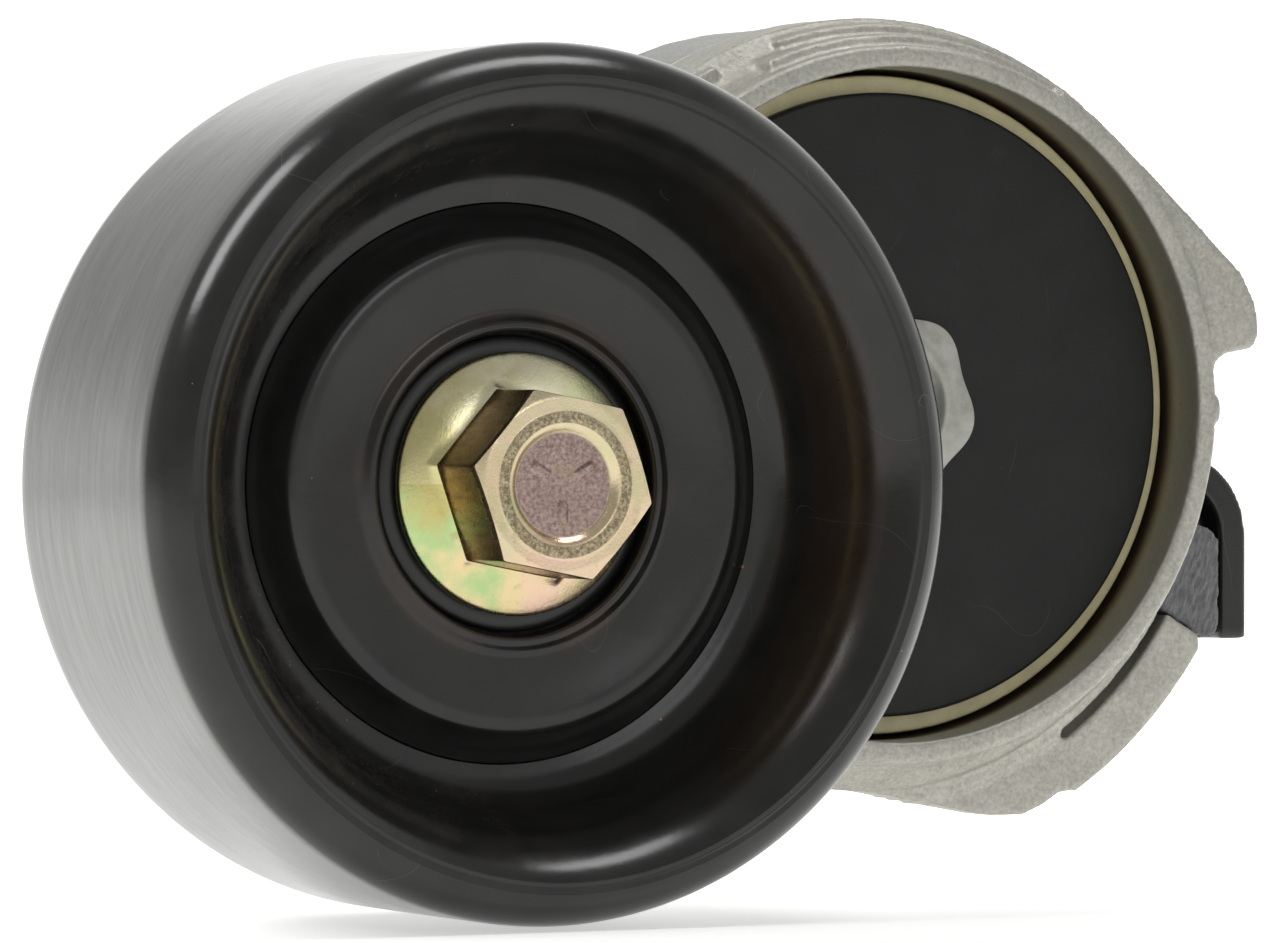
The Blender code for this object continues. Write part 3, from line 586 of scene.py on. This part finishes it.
def yellow_zinc():
    """Yellow passivated zinc: gold to green and pink films, bronze hexagon sides and a sparkly rim."""
    look = Look("yellow zinc", (0.78, 0.66, 0.38), 0.2, 1.0, centre=PULLEY)
    blotch = look.math("SUBTRACT", look.noise(4.5, 3.0, 0.55), 0.5)
    turn = look.math("ADD", look.math("DIVIDE", look.math("ARCTAN2", look.z, look.x), 2 * pi), 0.5)
    film = look.math("ADD", turn, look.times(blotch, 0.45))
    colour = look.ramp(film, [
        (0.00, (0.56, 0.50, 0.20)), (0.11, (0.46, 0.62, 0.28)), (0.20, (0.80, 0.66, 0.36)),
        (0.28, (0.86, 0.60, 0.46)), (0.42, (0.84, 0.72, 0.40)), (0.60, (0.72, 0.74, 0.42)),
        (0.75, (0.90, 0.84, 0.60)), (0.92, (0.66, 0.60, 0.30)),
    ])
    facing = look.math("ABSOLUTE", look.add("ShaderNodeSeparateXYZ", Vector=look.normal).outputs[1])
    on_hexagon = look.step(look.radius, BOLT_CORNER_R + 0.4, BOLT_CORNER_R)
    side = look.times(look.step(facing, 0.35, 0.1), on_hexagon)
    bronze = look.ramp(look.noise(0.8, 4.0, 0.6, (1.0, 0.2, 1.0)), [
        (0.3, (0.20, 0.115, 0.06)), (0.5, (0.42, 0.25, 0.15)), (0.7, (0.46, 0.36, 0.17))])
    colour = look.mix(look.times(side, 0.9), colour, bronze)
    top = look.step(look.depth, BOLT_TOP + 1.3, BOLT_TOP + 1.0)
    tan = look.ramp(look.noise(3.0, 3.0, 0.6), [(0.35, (0.62, 0.56, 0.34)), (0.6, (0.78, 0.58, 0.43))])
    colour = look.mix(look.times(top, 0.7), colour, tan)
    floor = look.times(look.step(look.radius, 4.65, 4.35), top)
    plum = look.ramp(look.noise(0.35, 3.0, 0.7), [(0.35, (0.22, 0.16, 0.14)), (0.65, (0.46, 0.34, 0.31))])
    colour = look.mix(floor, colour, plum)
    rim = look.times(look.band(look.radius, 5.4, 6.25, 0.15), top)
    sparkle = look.ramp(look.noise(0.3, 4.0, 0.8), [(0.42, (0.13, 0.105, 0.06)), (0.64, (0.55, 0.47, 0.32))])
    colour = look.mix(look.times(rim, 0.9), colour, sparkle)
    stain = look.step(look.noise(2.6, 5.0, 0.7), 0.57, 0.68)
    colour = look.mix(look.times(stain, 0.35), colour, (0.34, 0.29, 0.12))
    rough = look.scaled(look.noise(0.9, 4.0, 0.7), 0.14, 0.36)
    coarse = look.math("MAXIMUM", rim, floor)
    rough = look.math("ADD", rough, look.times(coarse, 0.15))
    height = look.times(look.noise(0.28, 3.0, 0.7), look.scaled(coarse, 0.3, 1.0))
    return look.finish(colour, rough, look.bump(height, 0.05))


def steel(name, tint, roughness, size, wear=0.3):
    """Machined steel, mottled and with dull patches. wear is how much they show."""
    look = Look(name, tint, roughness, 1.0)
    low, high = tuple(t * 0.75 for t in tint), tuple(min(1.0, t * 1.15) for t in tint)
    colour = look.ramp(look.noise(size, 4.0, 0.65), [(0.3, low), (0.7, high)])
    dull = look.step(look.noise(size * 2.2, 3.0, 0.6), 0.55, 0.72)
    colour = look.mix(look.times(dull, wear), colour, tuple(t * 0.45 for t in tint))
    rough = look.scaled(look.noise(size * 0.6, 3.0, 0.6), roughness - 0.08, roughness + 0.14)
    return look.finish(colour, rough, look.bump(look.noise(size * 0.25, 3.0, 0.6), 0.015))


def nylon(name, tint, gap_shade_from=None):
    """Moulded nylon. Past the radius given as its third argument, and on all but its front face, it is
    painted dark brown: painted shade of the narrow gap round it.
    """
    look = Look(name, tint, 0.45)
    colour = look.ramp(look.noise(2.6, 4.0, 0.6), [(0.3, tuple(t * 0.82 for t in tint)), (0.7, tint)])
    if gap_shade_from:
        # Dark brown past the given radius and on all but the front face: painted shade of the narrow gap
        # between the ring and the bore.
        edge = look.math("ADD", look.radius, look.scaled(look.noise(2.2, 3.0, 0.6), -0.15, 0.15))
        stain = look.math("MAXIMUM", look.step(edge, gap_shade_from - 0.1, gap_shade_from + 0.1),
                          look.step(look.depth, DAMPER_FRONT + 0.5, DAMPER_FRONT + 1.0))
        colour = look.mix(look.times(stain, 0.9), colour, (0.10, 0.052, 0.018))
        patch = look.step(look.noise(4.0, 3.0, 0.6), 0.6, 0.72)
        colour = look.mix(look.times(patch, 0.4), colour, (0.60, 0.50, 0.12))
    rough = look.scaled(look.noise(0.9, 3.0), 0.36, 0.58)
    return look.finish(colour, rough, look.bump(look.noise(0.4, 3.0, 0.6), 0.012))


def rubber(name, tint, striated=False):
    """Matt rubber, striated where it was torn from its mould."""
    look = Look(name, tint, 0.7)
    if striated:
        grain = look.noise(1.0, 5.0, 0.75, (2.4, 1.0, 0.7), STRIA_TURN)
    else:
        grain = look.noise(0.7, 5.0, 0.7)
    light = tuple(t * 1.7 for t in tint)
    colour = look.ramp(grain, [(0.35, tuple(t * 0.6 for t in tint)), (0.5, tint), (0.68, light)])
    rough = look.scaled(look.noise(0.5, 3.0), 0.55, 0.85)
    return look.finish(colour, rough, look.bump(grain, 0.10 if striated else 0.03))


def make_looks():
    return {
        "pulley_paint": pulley_paint(),
        "black_paint": black_coat("black coat", (0.007, 0.007, 0.0067), 0.42, 0.5, specular=0.3),
        "shield_paint": black_coat("shield black coat", (0.008, 0.008, 0.0077), 0.34, 0.25, PULLEY),
        "lug_paint": black_coat("bracket black coat", (0.007, 0.007, 0.0065), 0.24, 0.8, PIVOT, True),
        "cast_aluminium": cast_aluminium("cast aluminium", (0.46, 0.45, 0.405)),
        "case_aluminium": cast_aluminium("case aluminium", (0.42, 0.42, 0.40), bore=False),
        "swaged_aluminium": swaged_aluminium(),
        "yellow_zinc": yellow_zinc(),
        "plain_steel": steel("plain steel", (0.50, 0.50, 0.49), 0.34, 2.0),
        "bearing_steel": steel("bearing steel", (0.60, 0.60, 0.60), 0.2, 3.0, 0.15),
        "spring_steel": steel("spring steel", (0.13, 0.13, 0.14), 0.36, 1.5),
        "cream_nylon": nylon("cream nylon", (0.75, 0.69, 0.42), DAMPER_R - 0.12),
        "liner_nylon": nylon("liner nylon", (0.66, 0.62, 0.42)),
        "cage_nylon": nylon("cage nylon", (0.10, 0.09, 0.07)),
        "seal_rubber": rubber("seal rubber", (0.03, 0.03, 0.032)),
        "stop_rubber": rubber("stop rubber", (0.13, 0.132, 0.136), True),
    }


def stand_in(piece, node, material):
    """The piece is shown in place of a CAD node, on that node's body."""
    piece.data.materials.clear()
    piece.data.materials.append(material)
    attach(piece, BODY_OF[node])
    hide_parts(node)


# ---- Pulley ----


def make_rim(looks):
    """Spun steel rim with a rolled bead, a fine crease beside it and a web that dips to the hub."""
    inner = PULLEY_R - BEAD_R
    bead = [(inner + BEAD_R * cos(radians(a)), BEAD_R * (1 - sin(radians(a))), 0.0) for a in range(0, 70, 5)]
    crease = [(34.7, 0.52, 0.2), (34.4, 0.6, 0.3), (34.1, 0.48, 0.5)]
    valley = [
        (33.1, 1.2), (32.1, 2.2), (31.05, 3.6), (30.1, 5.4), (29.35, 7.5), (28.75, 9.6), (28.1, 11.5),
        (27.2, 12.9), (25.9, 13.7), (HUB_LAP_R, 13.98, 0.05),
    ]
    valley = [v if len(v) > 2 else (*v, 3.0) for v in valley]
    lap = [(HUB_LAP_R, 15.8), (22.7, 15.8), (22.7, 17.8), (25.6, 17.6, 1.5)]
    web_back = [(27.8, 16.3, 3.0), (29.8, 14.0, 3.0), (30.8, 11.2, 3.0), (31.6, 8.3, 3.0), (32.6, 6.0, 2.0),
                (33.9, 4.2, 1.0), (35.3, 3.6, 0.8)]
    wall = [(RIM_WALL_R, 5.0, 1.0), (RIM_WALL_R, 30.8, 0.6), (35.2, 31.6, 0.6), (35.2, PULLEY_WIDTH)]
    back_edge = [(36.6, 33.3, 0.6), (37.7, 32.3, 0.8), (PULLEY_R, RIM_SHOULDER, 1.2)]
    belt_face = [(PULLEY_R, RIM_SHOULDER - i * (RIM_SHOULDER - BEAD_R) / 8, 0.0) for i in range(1, 8)]
    rim = turned("pulley_rim_fine", bead + crease + valley + lap + web_back + wall + back_edge + belt_face,
                 PULLEY, 0.15, 360)
    stand_in(rim, "pulley_rim", looks["pulley_paint"])


def make_hub(looks):
    bore, staked = BEARING_R + 0.3, HUB_BACK
    face = [(13.2, 11.3, 0.15), (13.5, 10.9, 0.2), (14.0, 10.95, 0.4), (14.8, 11.5, 1.0), (17.5, 11.2, 3.0),
            (20.3, HUB_FRONT, 2.0), (21.5, 10.85, 0.8)]
    shoulder = [(22.4, 11.8, 1.0), (23.5, 13.3, 1.0), (24.4, 13.9, 0.12), (24.4, 15.5), (22.4, 15.5, 0.4)]
    lip = [(22.4, staked, 0.5), (18.9, staked, 0.4), (18.9, staked - 1.1), (bore, staked - 1.1)]
    hub = turned("pulley_hub_fine", face + shoulder + lip + [(bore, 13.0), (13.2, 13.0)], PULLEY, 0.15, STEPS)
    stand_in(hub, "pulley_hub", looks["pulley_paint"])


def race_profile(plain_r, shoulder_r):
    """A bearing ring's section: a plain side, and a round groove in the other."""
    side = 1 if shoulder_r > BALL_PITCH_R else -1
    middle = (BEARING_FRONT + BEARING_BACK) / 2
    room_r = BALL_R + 0.2
    spread = degrees(np.arccos(abs(shoulder_r - BALL_PITCH_R) / room_r))
    turn = [spread - 2 * spread * i / 10 for i in range(11)]
    groove = [(BALL_PITCH_R + side * room_r * cos(radians(a)), middle + room_r * sin(radians(a)), 0.0)
              for a in turn]
    outer = [(plain_r, BEARING_FRONT, 0.6), (plain_r, BEARING_BACK, 0.6), (shoulder_r, BEARING_BACK, 0.2)]
    return outer + groove + [(shoulder_r, BEARING_FRONT, 0.2)]


def seal_profile(front):
    """A seal's section, with a lip at its inner edge and a shallow ring pressed into its face."""
    return [
        (11.7, front, 0.15), (12.3, front, 0.2), (12.6, front + 0.2, 0.2), (15.4, front + 0.2, 0.2),
        (15.8, front, 0.2), (16.8, front, 0.15), (16.8, front + 0.7, 0.15), (11.7, front + 0.7, 0.15),
    ]


def make_bearing(looks):
    chrome, seal = looks["bearing_steel"], looks["seal_rubber"]
    outer = turned("bearing_outer_race_fine", race_profile(BEARING_R, 17.1), PULLEY)
    stand_in(outer, "bearing_outer_race", chrome)
    inner = turned("bearing_inner_race_fine", race_profile(8.5, 11.4), PULLEY)
    stand_in(inner, "bearing_inner_race", chrome)
    for node in ("bearing_front_seal", "bearing_rear_seal"):
        piece = turned(node + "_fine", seal_profile(depth_range(node)[0]), PULLEY)
        stand_in(piece, node, seal)
    cage = refined("bearing_cage_fine", "bearing_cage", 0.22, 4)
    stand_in(cage, "bearing_cage", looks["cage_nylon"])
    for i in range(BALL_COUNT):
        node = f"bearing_ball_{i + 1}"
        low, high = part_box(node)
        bm = bmesh.new()
        bmesh.ops.create_icosphere(bm, subdivisions=4, radius=BALL_R * MM)
        bmesh.ops.translate(bm, verts=bm.verts, vec=(low + high) / 2)
        stand_in(new_object(node + "_fine", bm, 0), node, chrome)
    sleeve = [(BOLT_HOLE_R, BEARING_FRONT - 0.3), (8.2, BEARING_FRONT - 0.3), (8.2, BEARING_BACK),
              (BOLT_HOLE_R, BEARING_BACK)]
    stand_in(turned("bearing_spacer_fine", sleeve, PULLEY), "bearing_spacer",
             looks["plain_steel"])


def thread(depth, turn):
    """0 to 1 across the flanks of a screw thread, at a depth and a share of a turn."""
    phase = (depth / THREAD_PITCH + turn) % 1.0
    return np.clip(np.abs(2 * phase - 1) * 1.35 - 0.15, 0.0, 1.0)


def make_bolt(looks):
    """Hex flange bolt with a chamfered head, a shallow recess with three raised dashes, and a thread."""
    steps = 360
    degree = np.arange(steps)
    turn = degree / steps
    hex_r = np.minimum(BOLT_FLATS / 2 / np.cos(np.radians((degree - HEX_TURN) % 60 - 30)), BOLT_CORNER_R)
    rings = Rings(steps)
    from_dash = np.abs((degree - DASH_TURN + 60) % 120 - 60)
    for radius in np.arange(0.0, RECESS_R, 0.15):
        across = radius * np.radians(from_dash)
        along = np.clip(min(radius - DASH_FROM_R, DASH_TO_R - radius) / DASH_SOFT, 0.0, 1.0)
        dash = np.clip((DASH_HALF_WIDTH - across) / DASH_SOFT, 0.0, 1.0) * along
        rings.add(radius, BOLT_TOP + RECESS_DEPTH + 0.08 * cos(radius) - DASH_HEIGHT * dash)
    recess_edge = [(4.5, 0.62), (4.7, 0.44), (4.9, 0.20), (5.1, 0.08), (5.3, 0.0), (5.8, -0.03), (6.3, 0.03)]
    for radius, below in recess_edge:
        rings.add(radius, BOLT_TOP + below)
    for share in np.linspace(0.1, 0.97, 9):
        radius = 6.35 + share * (hex_r - 6.35)
        rings.add(radius, BOLT_TOP + 0.06 + np.maximum(radius - CHAMFER_FROM_R, 0.0) * CHAMFER)
    edge = BOLT_TOP + 0.06 + np.maximum(hex_r - CHAMFER_FROM_R, 0.0) * CHAMFER
    rings.add(hex_r - 0.03, edge + 0.03)
    for share in np.linspace(0.0, 1.0, 10):
        rings.add(hex_r, edge + 0.12 + share * (HEX_BACK - 0.35 - edge - 0.12))
    rings.add(hex_r + 0.08, HEX_BACK - 0.12)
    rings.add(hex_r + 0.3, HEX_BACK)
    for share in np.linspace(0.15, 1.0, 8):
        radius = hex_r + 0.3 + share * (11.2 - hex_r - 0.3)
        rings.add(radius, HEX_BACK + (10.66 - HEX_BACK) * np.clip((radius - 7.8) / 3.4, 0, 1) ** 1.4)
    flange_edge = [(11.36, 10.78), (11.47, 10.92), (BOLT_FLANGE_R, 11.15), (11.47, 11.45), (11.3, 11.62)]
    seat = [(11.0, BOLT_SEAT), (BOLT_R + 0.4, BOLT_SEAT), (BOLT_R, BOLT_SEAT + 0.4)]
    for radius, depth in flange_edge + seat:
        rings.add(radius, depth)
    thread_from = BOLT_END - THREAD_LENGTH
    for depth in np.arange(thread_from - 0.5, BOLT_END - 0.8, THREAD_STEP):
        grown = min(max((depth - thread_from) / 1.0, 0.0), 1.0)
        rings.add(BOLT_R - grown * THREAD_DEPTH * thread(depth, turn), depth)
    rings.add(BOLT_R - 0.6, BOLT_END - 0.55)
    rings.add(BOLT_R - 1.3, BOLT_END)
    rings.add(0.0, BOLT_END)
    bolt = rings.build("pulley_bolt_fine", PULLEY)
    stand_in(bolt, "pulley_bolt", looks["yellow_zinc"])
    shield = [
        (BOLT_HOLE_R, SHIELD_FRONT), (12.1, SHIELD_FRONT, 0.5), (SHIELD_R, SHIELD_FRONT + 0.35, 0.3),
        (SHIELD_R, SHIELD_BACK), (12.0, SHIELD_BACK - 0.3, 0.4), (BOLT_HOLE_R, SHIELD_BACK - 0.3),
    ]
    stand_in(turned("front_dust_shield_fine", shield, PULLEY, 0.12, STEPS), "front_dust_shield",
             looks["shield_paint"])
    spacer = [(BOLT_HOLE_R, SPACER_FRONT), (SPACER_R, SPACER_FRONT), (SPACER_R, SPACER_BACK),
              (BOLT_HOLE_R, SPACER_BACK)]
    stand_in(turned("rear_spacer_fine", spacer, PULLEY, 0.2), "rear_spacer",
             looks["plain_steel"])


# ---- Arm ----


def make_arm(looks):
    """The casting, eased at its edges, with round walls made true and a cast skin off its machined faces."""
    root_bump = tube_object("root_bump", [(33.3, RING_FRONT + 0.6, z) for z in (-1.6, -0.8, 0.0, 0.8)], 0.55,
                            True)
    arm = refined("arm_casting_fine", "arm_casting", 0.36, 2, [root_bump])
    walls = [(*PIVOT, radius) for radius in ARM_WALLS] + [(*PULLEY, POST_R), (*PULLEY, BOLT_HOLE_R)]
    true_up(arm, walls, (RING_FRONT, *ARM_FLATS, ARM_BACK))

    def cast_skin(points):
        far = np.hypot(points[:, 0], points[:, 2])
        bore = (far < RING_BORE_R + 0.3) & (points[:, 1] < RING_BORE_BACK)
        return np.where(bore, 0.15, 1.0)

    roughen(arm, ((0.8, 0.022), (3.2, 0.035)), cast_skin)
    stand_in(arm, "arm_casting", looks["cast_aluminium"])
    front, back = depth_range("pivot_bushing")
    sleeve = [(PIN_R + 0.25, front), (8.7, front), (8.7, back), (PIN_R + 0.25, back)]
    stand_in(turned("pivot_bushing_fine", sleeve, PIVOT, 0.2), "pivot_bushing",
             looks["liner_nylon"])


# ---- Base ----


def make_pivot_pin(looks):
    """Pivot pin with a swaged six-lobed head round a dished bowl, and a tapped hole in its back."""
    degree = np.arange(STEPS) * 360 / STEPS
    turn = degree / 360
    lobes = np.cos(np.radians(PIN_LOBES * (degree - PIN_LOBE_TURN)))
    rings = Rings(STEPS)
    for radius in np.linspace(0.0, PIN_BOWL_R, 20):
        rings.add(radius, PIN_FRONT + 1.75 - 1.35 * (radius / PIN_BOWL_R) ** 3.2)
    for radius, depth in ((5.85, 0.16), (6.1, 0.03), (6.35, 0.0), (6.7, 0.04)):
        rings.add(radius, PIN_FRONT + depth)
    for share in np.linspace(0.0, 1.0, 8):
        radius = PIN_R + share * (PIN_HEAD_R - PIN_R + PIN_LOBE * lobes)
        rings.add(radius, PIN_FRONT + 0.08 + 0.16 * share ** 2 - 0.03 * lobes * share)
    outer = PIN_HEAD_R + PIN_LOBE * lobes
    rings.add(outer + 0.06, PIN_FRONT + 0.38)
    rings.add(outer + 0.02, CAP_FRONT - 0.4)
    rings.add(outer - 0.15, CAP_FRONT - 0.3)
    rings.add(PIN_R, CAP_FRONT - 0.3)
    rings.add(PIN_R, PIN_BACK - 0.6)
    rings.add(PIN_R - 0.6, PIN_BACK)
    rings.add(PIN_TAP_R + 0.5, PIN_BACK)
    for depth in np.arange(PIN_BACK - 0.5, PIN_TAP_FRONT + 4.0, -THREAD_STEP):
        rings.add(PIN_TAP_R - 0.35 * thread(depth, turn), depth)
    rings.add(PIN_TAP_R - 0.4, PIN_TAP_FRONT + 2.0)
    rings.add(0.0, PIN_TAP_FRONT)
    pin = rings.build("pivot_pin_fine", PIVOT, 40)
    stand_in(pin, "pivot_pin", looks["swaged_aluminium"])


def make_front_stack(looks):
    cap = [(PIN_R + 0.4, CAP_FRONT), (CAP_R - 0.25, CAP_FRONT, 0.5), (CAP_R, CAP_FRONT + 0.3, 0.3),
           (CAP_R, CAP_BACK), (PIN_R + 0.4, CAP_BACK)]
    stand_in(turned("cap_plate_fine", cap, PIVOT, 0.2, STEPS), "cap_plate",
             looks["black_paint"])
    damper = [(24.0, DAMPER_FRONT), (DAMPER_R, DAMPER_FRONT, 0.45), (DAMPER_R, DAMPER_BACK),
              (24.0, DAMPER_BACK)]
    stand_in(turned("damping_ring_fine", damper, PIVOT, 0.2, STEPS), "damping_ring",
             looks["cream_nylon"])
    rim_back = CASE_FRONT - 0.2
    liner = [(31.4, LINER_FRONT), (LINER_R, LINER_FRONT, 0.2), (LINER_R, rim_back, 0.2), (32.1, rim_back),
             (32.1, LINER_BACK), (31.4, LINER_BACK)]
    stand_in(turned("case_bushing_fine", liner, PIVOT, 0.15, STEPS), "case_bushing",
             looks["liner_nylon"])


def make_case(looks):
    case = refined("spring_case_fine", "spring_case", 0.5, 3)
    true_up(case, [(0, 0, CASE_R), (0, 0, 32.4)], (CASE_FRONT, CASE_BACK))
    roughen(case, ((1.0, 0.03), (3.5, 0.04)))
    stand_in(case, "spring_case", looks["case_aluminium"])
    for i, angle in enumerate(RIVET_ANGLES):
        node = f"bracket_rivet_{i + 1}"
        front, back = depth_range(node)
        neck, seat = front + 1.3, back - 1.4
        profile = [
            (0.0, front), (1.6, front + 0.05, 0.5), (RIVET_HEAD_R, front + 0.9, 0.5), (RIVET_HEAD_R, neck),
            (RIVET_R, neck), (RIVET_R, seat), (RIVET_HEAD_R, seat), (RIVET_HEAD_R, back - 0.5, 0.5),
            (1.7, back - 0.05, 0.5), (0.0, back),
        ]
        rivet = turned(node + "_fine", profile, polar(RIVET_PITCH_R, angle), 0.12, 64)
        stand_in(rivet, node, looks["plain_steel"])


def lug_edge(inset, steps=12):
    """The lug's outer edge from its foot, up its straight side and over its round top corner."""
    right, corner = LUG_RIGHT - inset, LUG_CORNER_R - inset
    centre_x, centre_z = LUG_RIGHT - LUG_CORNER_R, LUG_TOP - LUG_CORNER_R
    side = [(right, LUG_BOTTOM + 0.6 + i * (centre_z - LUG_BOTTOM - 0.6) / 8) for i in range(8)]
    return side + arc(corner, 0, 80, steps, centre_x, centre_z)


def make_bracket(looks):
    """Black bracket. A fine ridge runs along the inner edge of the lug's rounded lip."""
    ridge = [(x, LUG_FRONT + 0.28, z) for x, z in lug_edge(LUG_LIP - 0.35)]
    bracket = refined("mounting_bracket_fine", "mounting_bracket", 0.36, 4,
                      [tube_object("lip_ridge", ridge, 0.42)])
    true_up(bracket, [(0, 0, 31.0), (0, 0, 7.3)], (70.5, MOUNT_DEPTH))
    stand_in(bracket, "mounting_bracket", looks["lug_paint"])
    front, back = depth_range("locating_pin")
    low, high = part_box("locating_pin")
    radius = (high.x - low.x) / 2 / MM
    pin = turned("locating_pin_fine", [(0.0, front), (radius, front), (radius, back - 0.8, 0.3),
                                       (radius - 0.8, back, 0.3), (0.0, back)],
                 (0.0, (low.z + high.z) / 2 / MM), 0.2, 64)
    stand_in(pin, "locating_pin", looks["plain_steel"])


def make_stop_block(looks):
    """Moulded block with a torn, striated face and a raised flash line round its top and right edges."""
    right = reach("stop_block")
    flash = [polar(36.95, -17.8), polar(38.2, -17.7), polar(39.3, -18.1), (right - 0.2, -13.4)]
    flash += [(right - 0.15 + 0.1 * cos(2 * z), z) for z in (-14.6, -16.2, -17.8, -19.4, -20.6)]
    flash += [(38.1, -21.5), (37.0, -21.9)]
    line = tube_object("stop_flash", [(x, STOP_FRONT + 0.1, z) for x, z in flash], 0.2)
    block = refined("stop_block_fine", "stop_block", 0.16, 2, [line])
    across = Matrix.Rotation(radians(STRIA_TURN), 3, "Y")
    squeeze = np.array(Matrix.Diagonal((2.2, 1.0, 0.5)) @ across)

    def torn_face(points):
        return np.where(points[:, 1] < STOP_FRONT + 1.5, 1.0, 0.25)

    roughen(block, ((1.0, 0.17), (0.45, 0.08)), torn_face, squeeze)
    stand_in(block, "stop_block", looks["stop_rubber"])


def make_spring(looks):
    """Torsion spring between the case and the arm, a fixed coil here; on the real part it twists as the arm
    turns.
    """
    per_turn = 64
    count = int(SPRING_TURNS * per_turn) + 1
    first, last = SPRING_FRONT + SPRING_WIRE_R, SPRING_BACK - SPRING_WIRE_R
    points = []
    for i in range(count):
        x, z = polar(SPRING_R, SPRING_START - 360 * i / per_turn)
        points.append((x, first + (last - first) * i / (count - 1), z))
    spring = tube_object("torsion_spring_fine", points, SPRING_WIRE_R)
    spring.data.shade_smooth()
    spring.data.materials.append(looks["spring_steel"])
    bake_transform(spring)
    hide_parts("torsion_spring")


# ---- Stage ----


CAMERA_OFFSET = Vector((-298.2, -615.7, 7.45))
CAMERA_LOOK = Vector((0.4434, 0.8963, -0.0092))
LIGHT_TARGET = Vector((-0.02, -0.04, 0.0))
LIGHT_DISTANCE = 1.0


def make_camera():
    """In front of the pulley and 26 degrees to its left. CAMERA_OFFSET is from the middle of its front."""
    where = place(PULLEY_X, 0.0, PULLEY_Z) + CAMERA_OFFSET * MM
    look = CAMERA_LOOK.normalized()
    right = look.cross(Vector((0, 0, 1))).normalized()
    up = right.cross(look)
    camera = bpy.data.objects.new("camera", bpy.data.cameras.new("camera"))
    axes = Matrix((right, up, -look)).transposed().to_4x4()
    camera.matrix_world = Matrix.Translation(where) @ axes
    camera.data.lens = 225
    camera.data.sensor_width = 36
    camera.data.clip_start = 0.01
    bpy.context.scene.collection.objects.link(camera)
    bpy.context.scene.camera = camera


def make_floor():
    """Pale floor that glows a little, more so behind the object."""
    bm = bmesh.new()
    bmesh.ops.create_grid(bm, x_segments=24, y_segments=24, size=3.0)
    bmesh.ops.translate(bm, verts=bm.verts, vec=(0, 0, cad_box[0][2] - 0.0002))
    floor = new_object("floor", bm, 0)
    look = Look("pale floor", (0.86, 0.86, 0.85), 0.6)
    tone = look.ramp(look.noise(60.0, 3.0), [(0.3, (0.84, 0.84, 0.83)), (0.7, (0.88, 0.88, 0.87))])
    look.set(look.shader, "Emission Color", (1.0, 1.0, 0.99, 1.0))
    look.set(look.shader, "Emission Strength", look.scaled(look.step(look.depth, -40.0, 60.0), 0.25, 0.75))
    floor.data.materials.append(look.finish(tone, None, look.bump(look.noise(1.0), 0.02)))


def make_light(name, toward, size, radiance, long_axis):
    """A softbox in this direction from the object. Its long side runs along long_axis."""
    back = Vector(toward).normalized()
    side = (Vector(long_axis) - back * back.dot(Vector(long_axis))).normalized()
    axes = Matrix((side, back.cross(side), back)).transposed().to_4x4()
    data = bpy.data.lights.new(name, "AREA")
    data.shape = "RECTANGLE"
    data.size, data.size_y = size
    data.energy = radiance * pi * size[0] * size[1]
    light = bpy.data.objects.new(name, data)
    light.matrix_world = Matrix.Translation(LIGHT_TARGET + back * LIGHT_DISTANCE) @ axes
    light.visible_camera = False
    bpy.context.scene.collection.objects.link(light)


def make_world():
    """Pale surroundings, white behind the object and dimmer at its upper left and in front."""
    world = bpy.data.worlds.new("studio")
    world.use_nodes = True
    bpy.context.scene.world = world
    nodes, links = world.node_tree.nodes, world.node_tree.links

    def fade(value, start, end, low, high):
        node = nodes.new("ShaderNodeMapRange")
        node.interpolation_type = "SMOOTHSTEP"
        for socket, number in zip(("From Min", "From Max", "To Min", "To Max"), (start, end, low, high)):
            node.inputs[socket].default_value = number
        links.new(value, node.inputs["Value"])
        return node.outputs["Result"]

    def combined(operation, a, b, factor=None):
        node = nodes.new("ShaderNodeMath")
        node.operation = operation
        for socket, value in zip(node.inputs, (a, b, factor)):
            if isinstance(value, bpy.types.NodeSocket):
                links.new(value, socket)
            elif value is not None:
                socket.default_value = value
        return node.outputs["Value"]

    direction = nodes.new("ShaderNodeTexCoord")
    parts = nodes.new("ShaderNodeSeparateXYZ")
    links.new(direction.outputs["Generated"], parts.inputs[0])
    x, y, z = parts.outputs
    upper_left = combined("MULTIPLY_ADD", x, -0.45, z)
    strength = combined("MULTIPLY", fade(y, 0.1, 0.85, 0.72, 1.35), fade(upper_left, 0.20, 0.42, 1.0, 0.5))
    links.new(strength, nodes["Background"].inputs["Strength"])
    nodes["Background"].inputs["Color"].default_value = (1.0, 1.0, 0.985, 1.0)


def make_stage():
    make_floor()
    make_world()
    make_light("key", (-0.66, 0.04, 0.75), (0.60, 0.30), 8.5, (-0.75, -0.14, -0.62))
    make_light("overhead", (0.27, -0.09, 0.96), (0.45, 0.27), 7.0, (1.0, 0.0, 0.0))
    make_light("front", (0.10, -0.93, 0.32), (0.35, 0.25), 1.5, (1.0, 0.0, 0.0))
    bpy.context.scene.view_settings.view_transform = "Standard"


def build():
    looks = make_looks()
    make_rim(looks)
    make_hub(looks)
    make_bearing(looks)
    make_bolt(looks)
    make_arm(looks)
    make_pivot_pin(looks)
    make_front_stack(looks)
    make_case(looks)
    make_bracket(looks)
    make_stop_block(looks)
    make_spring(looks)


make_camera()
make_stage()
build()
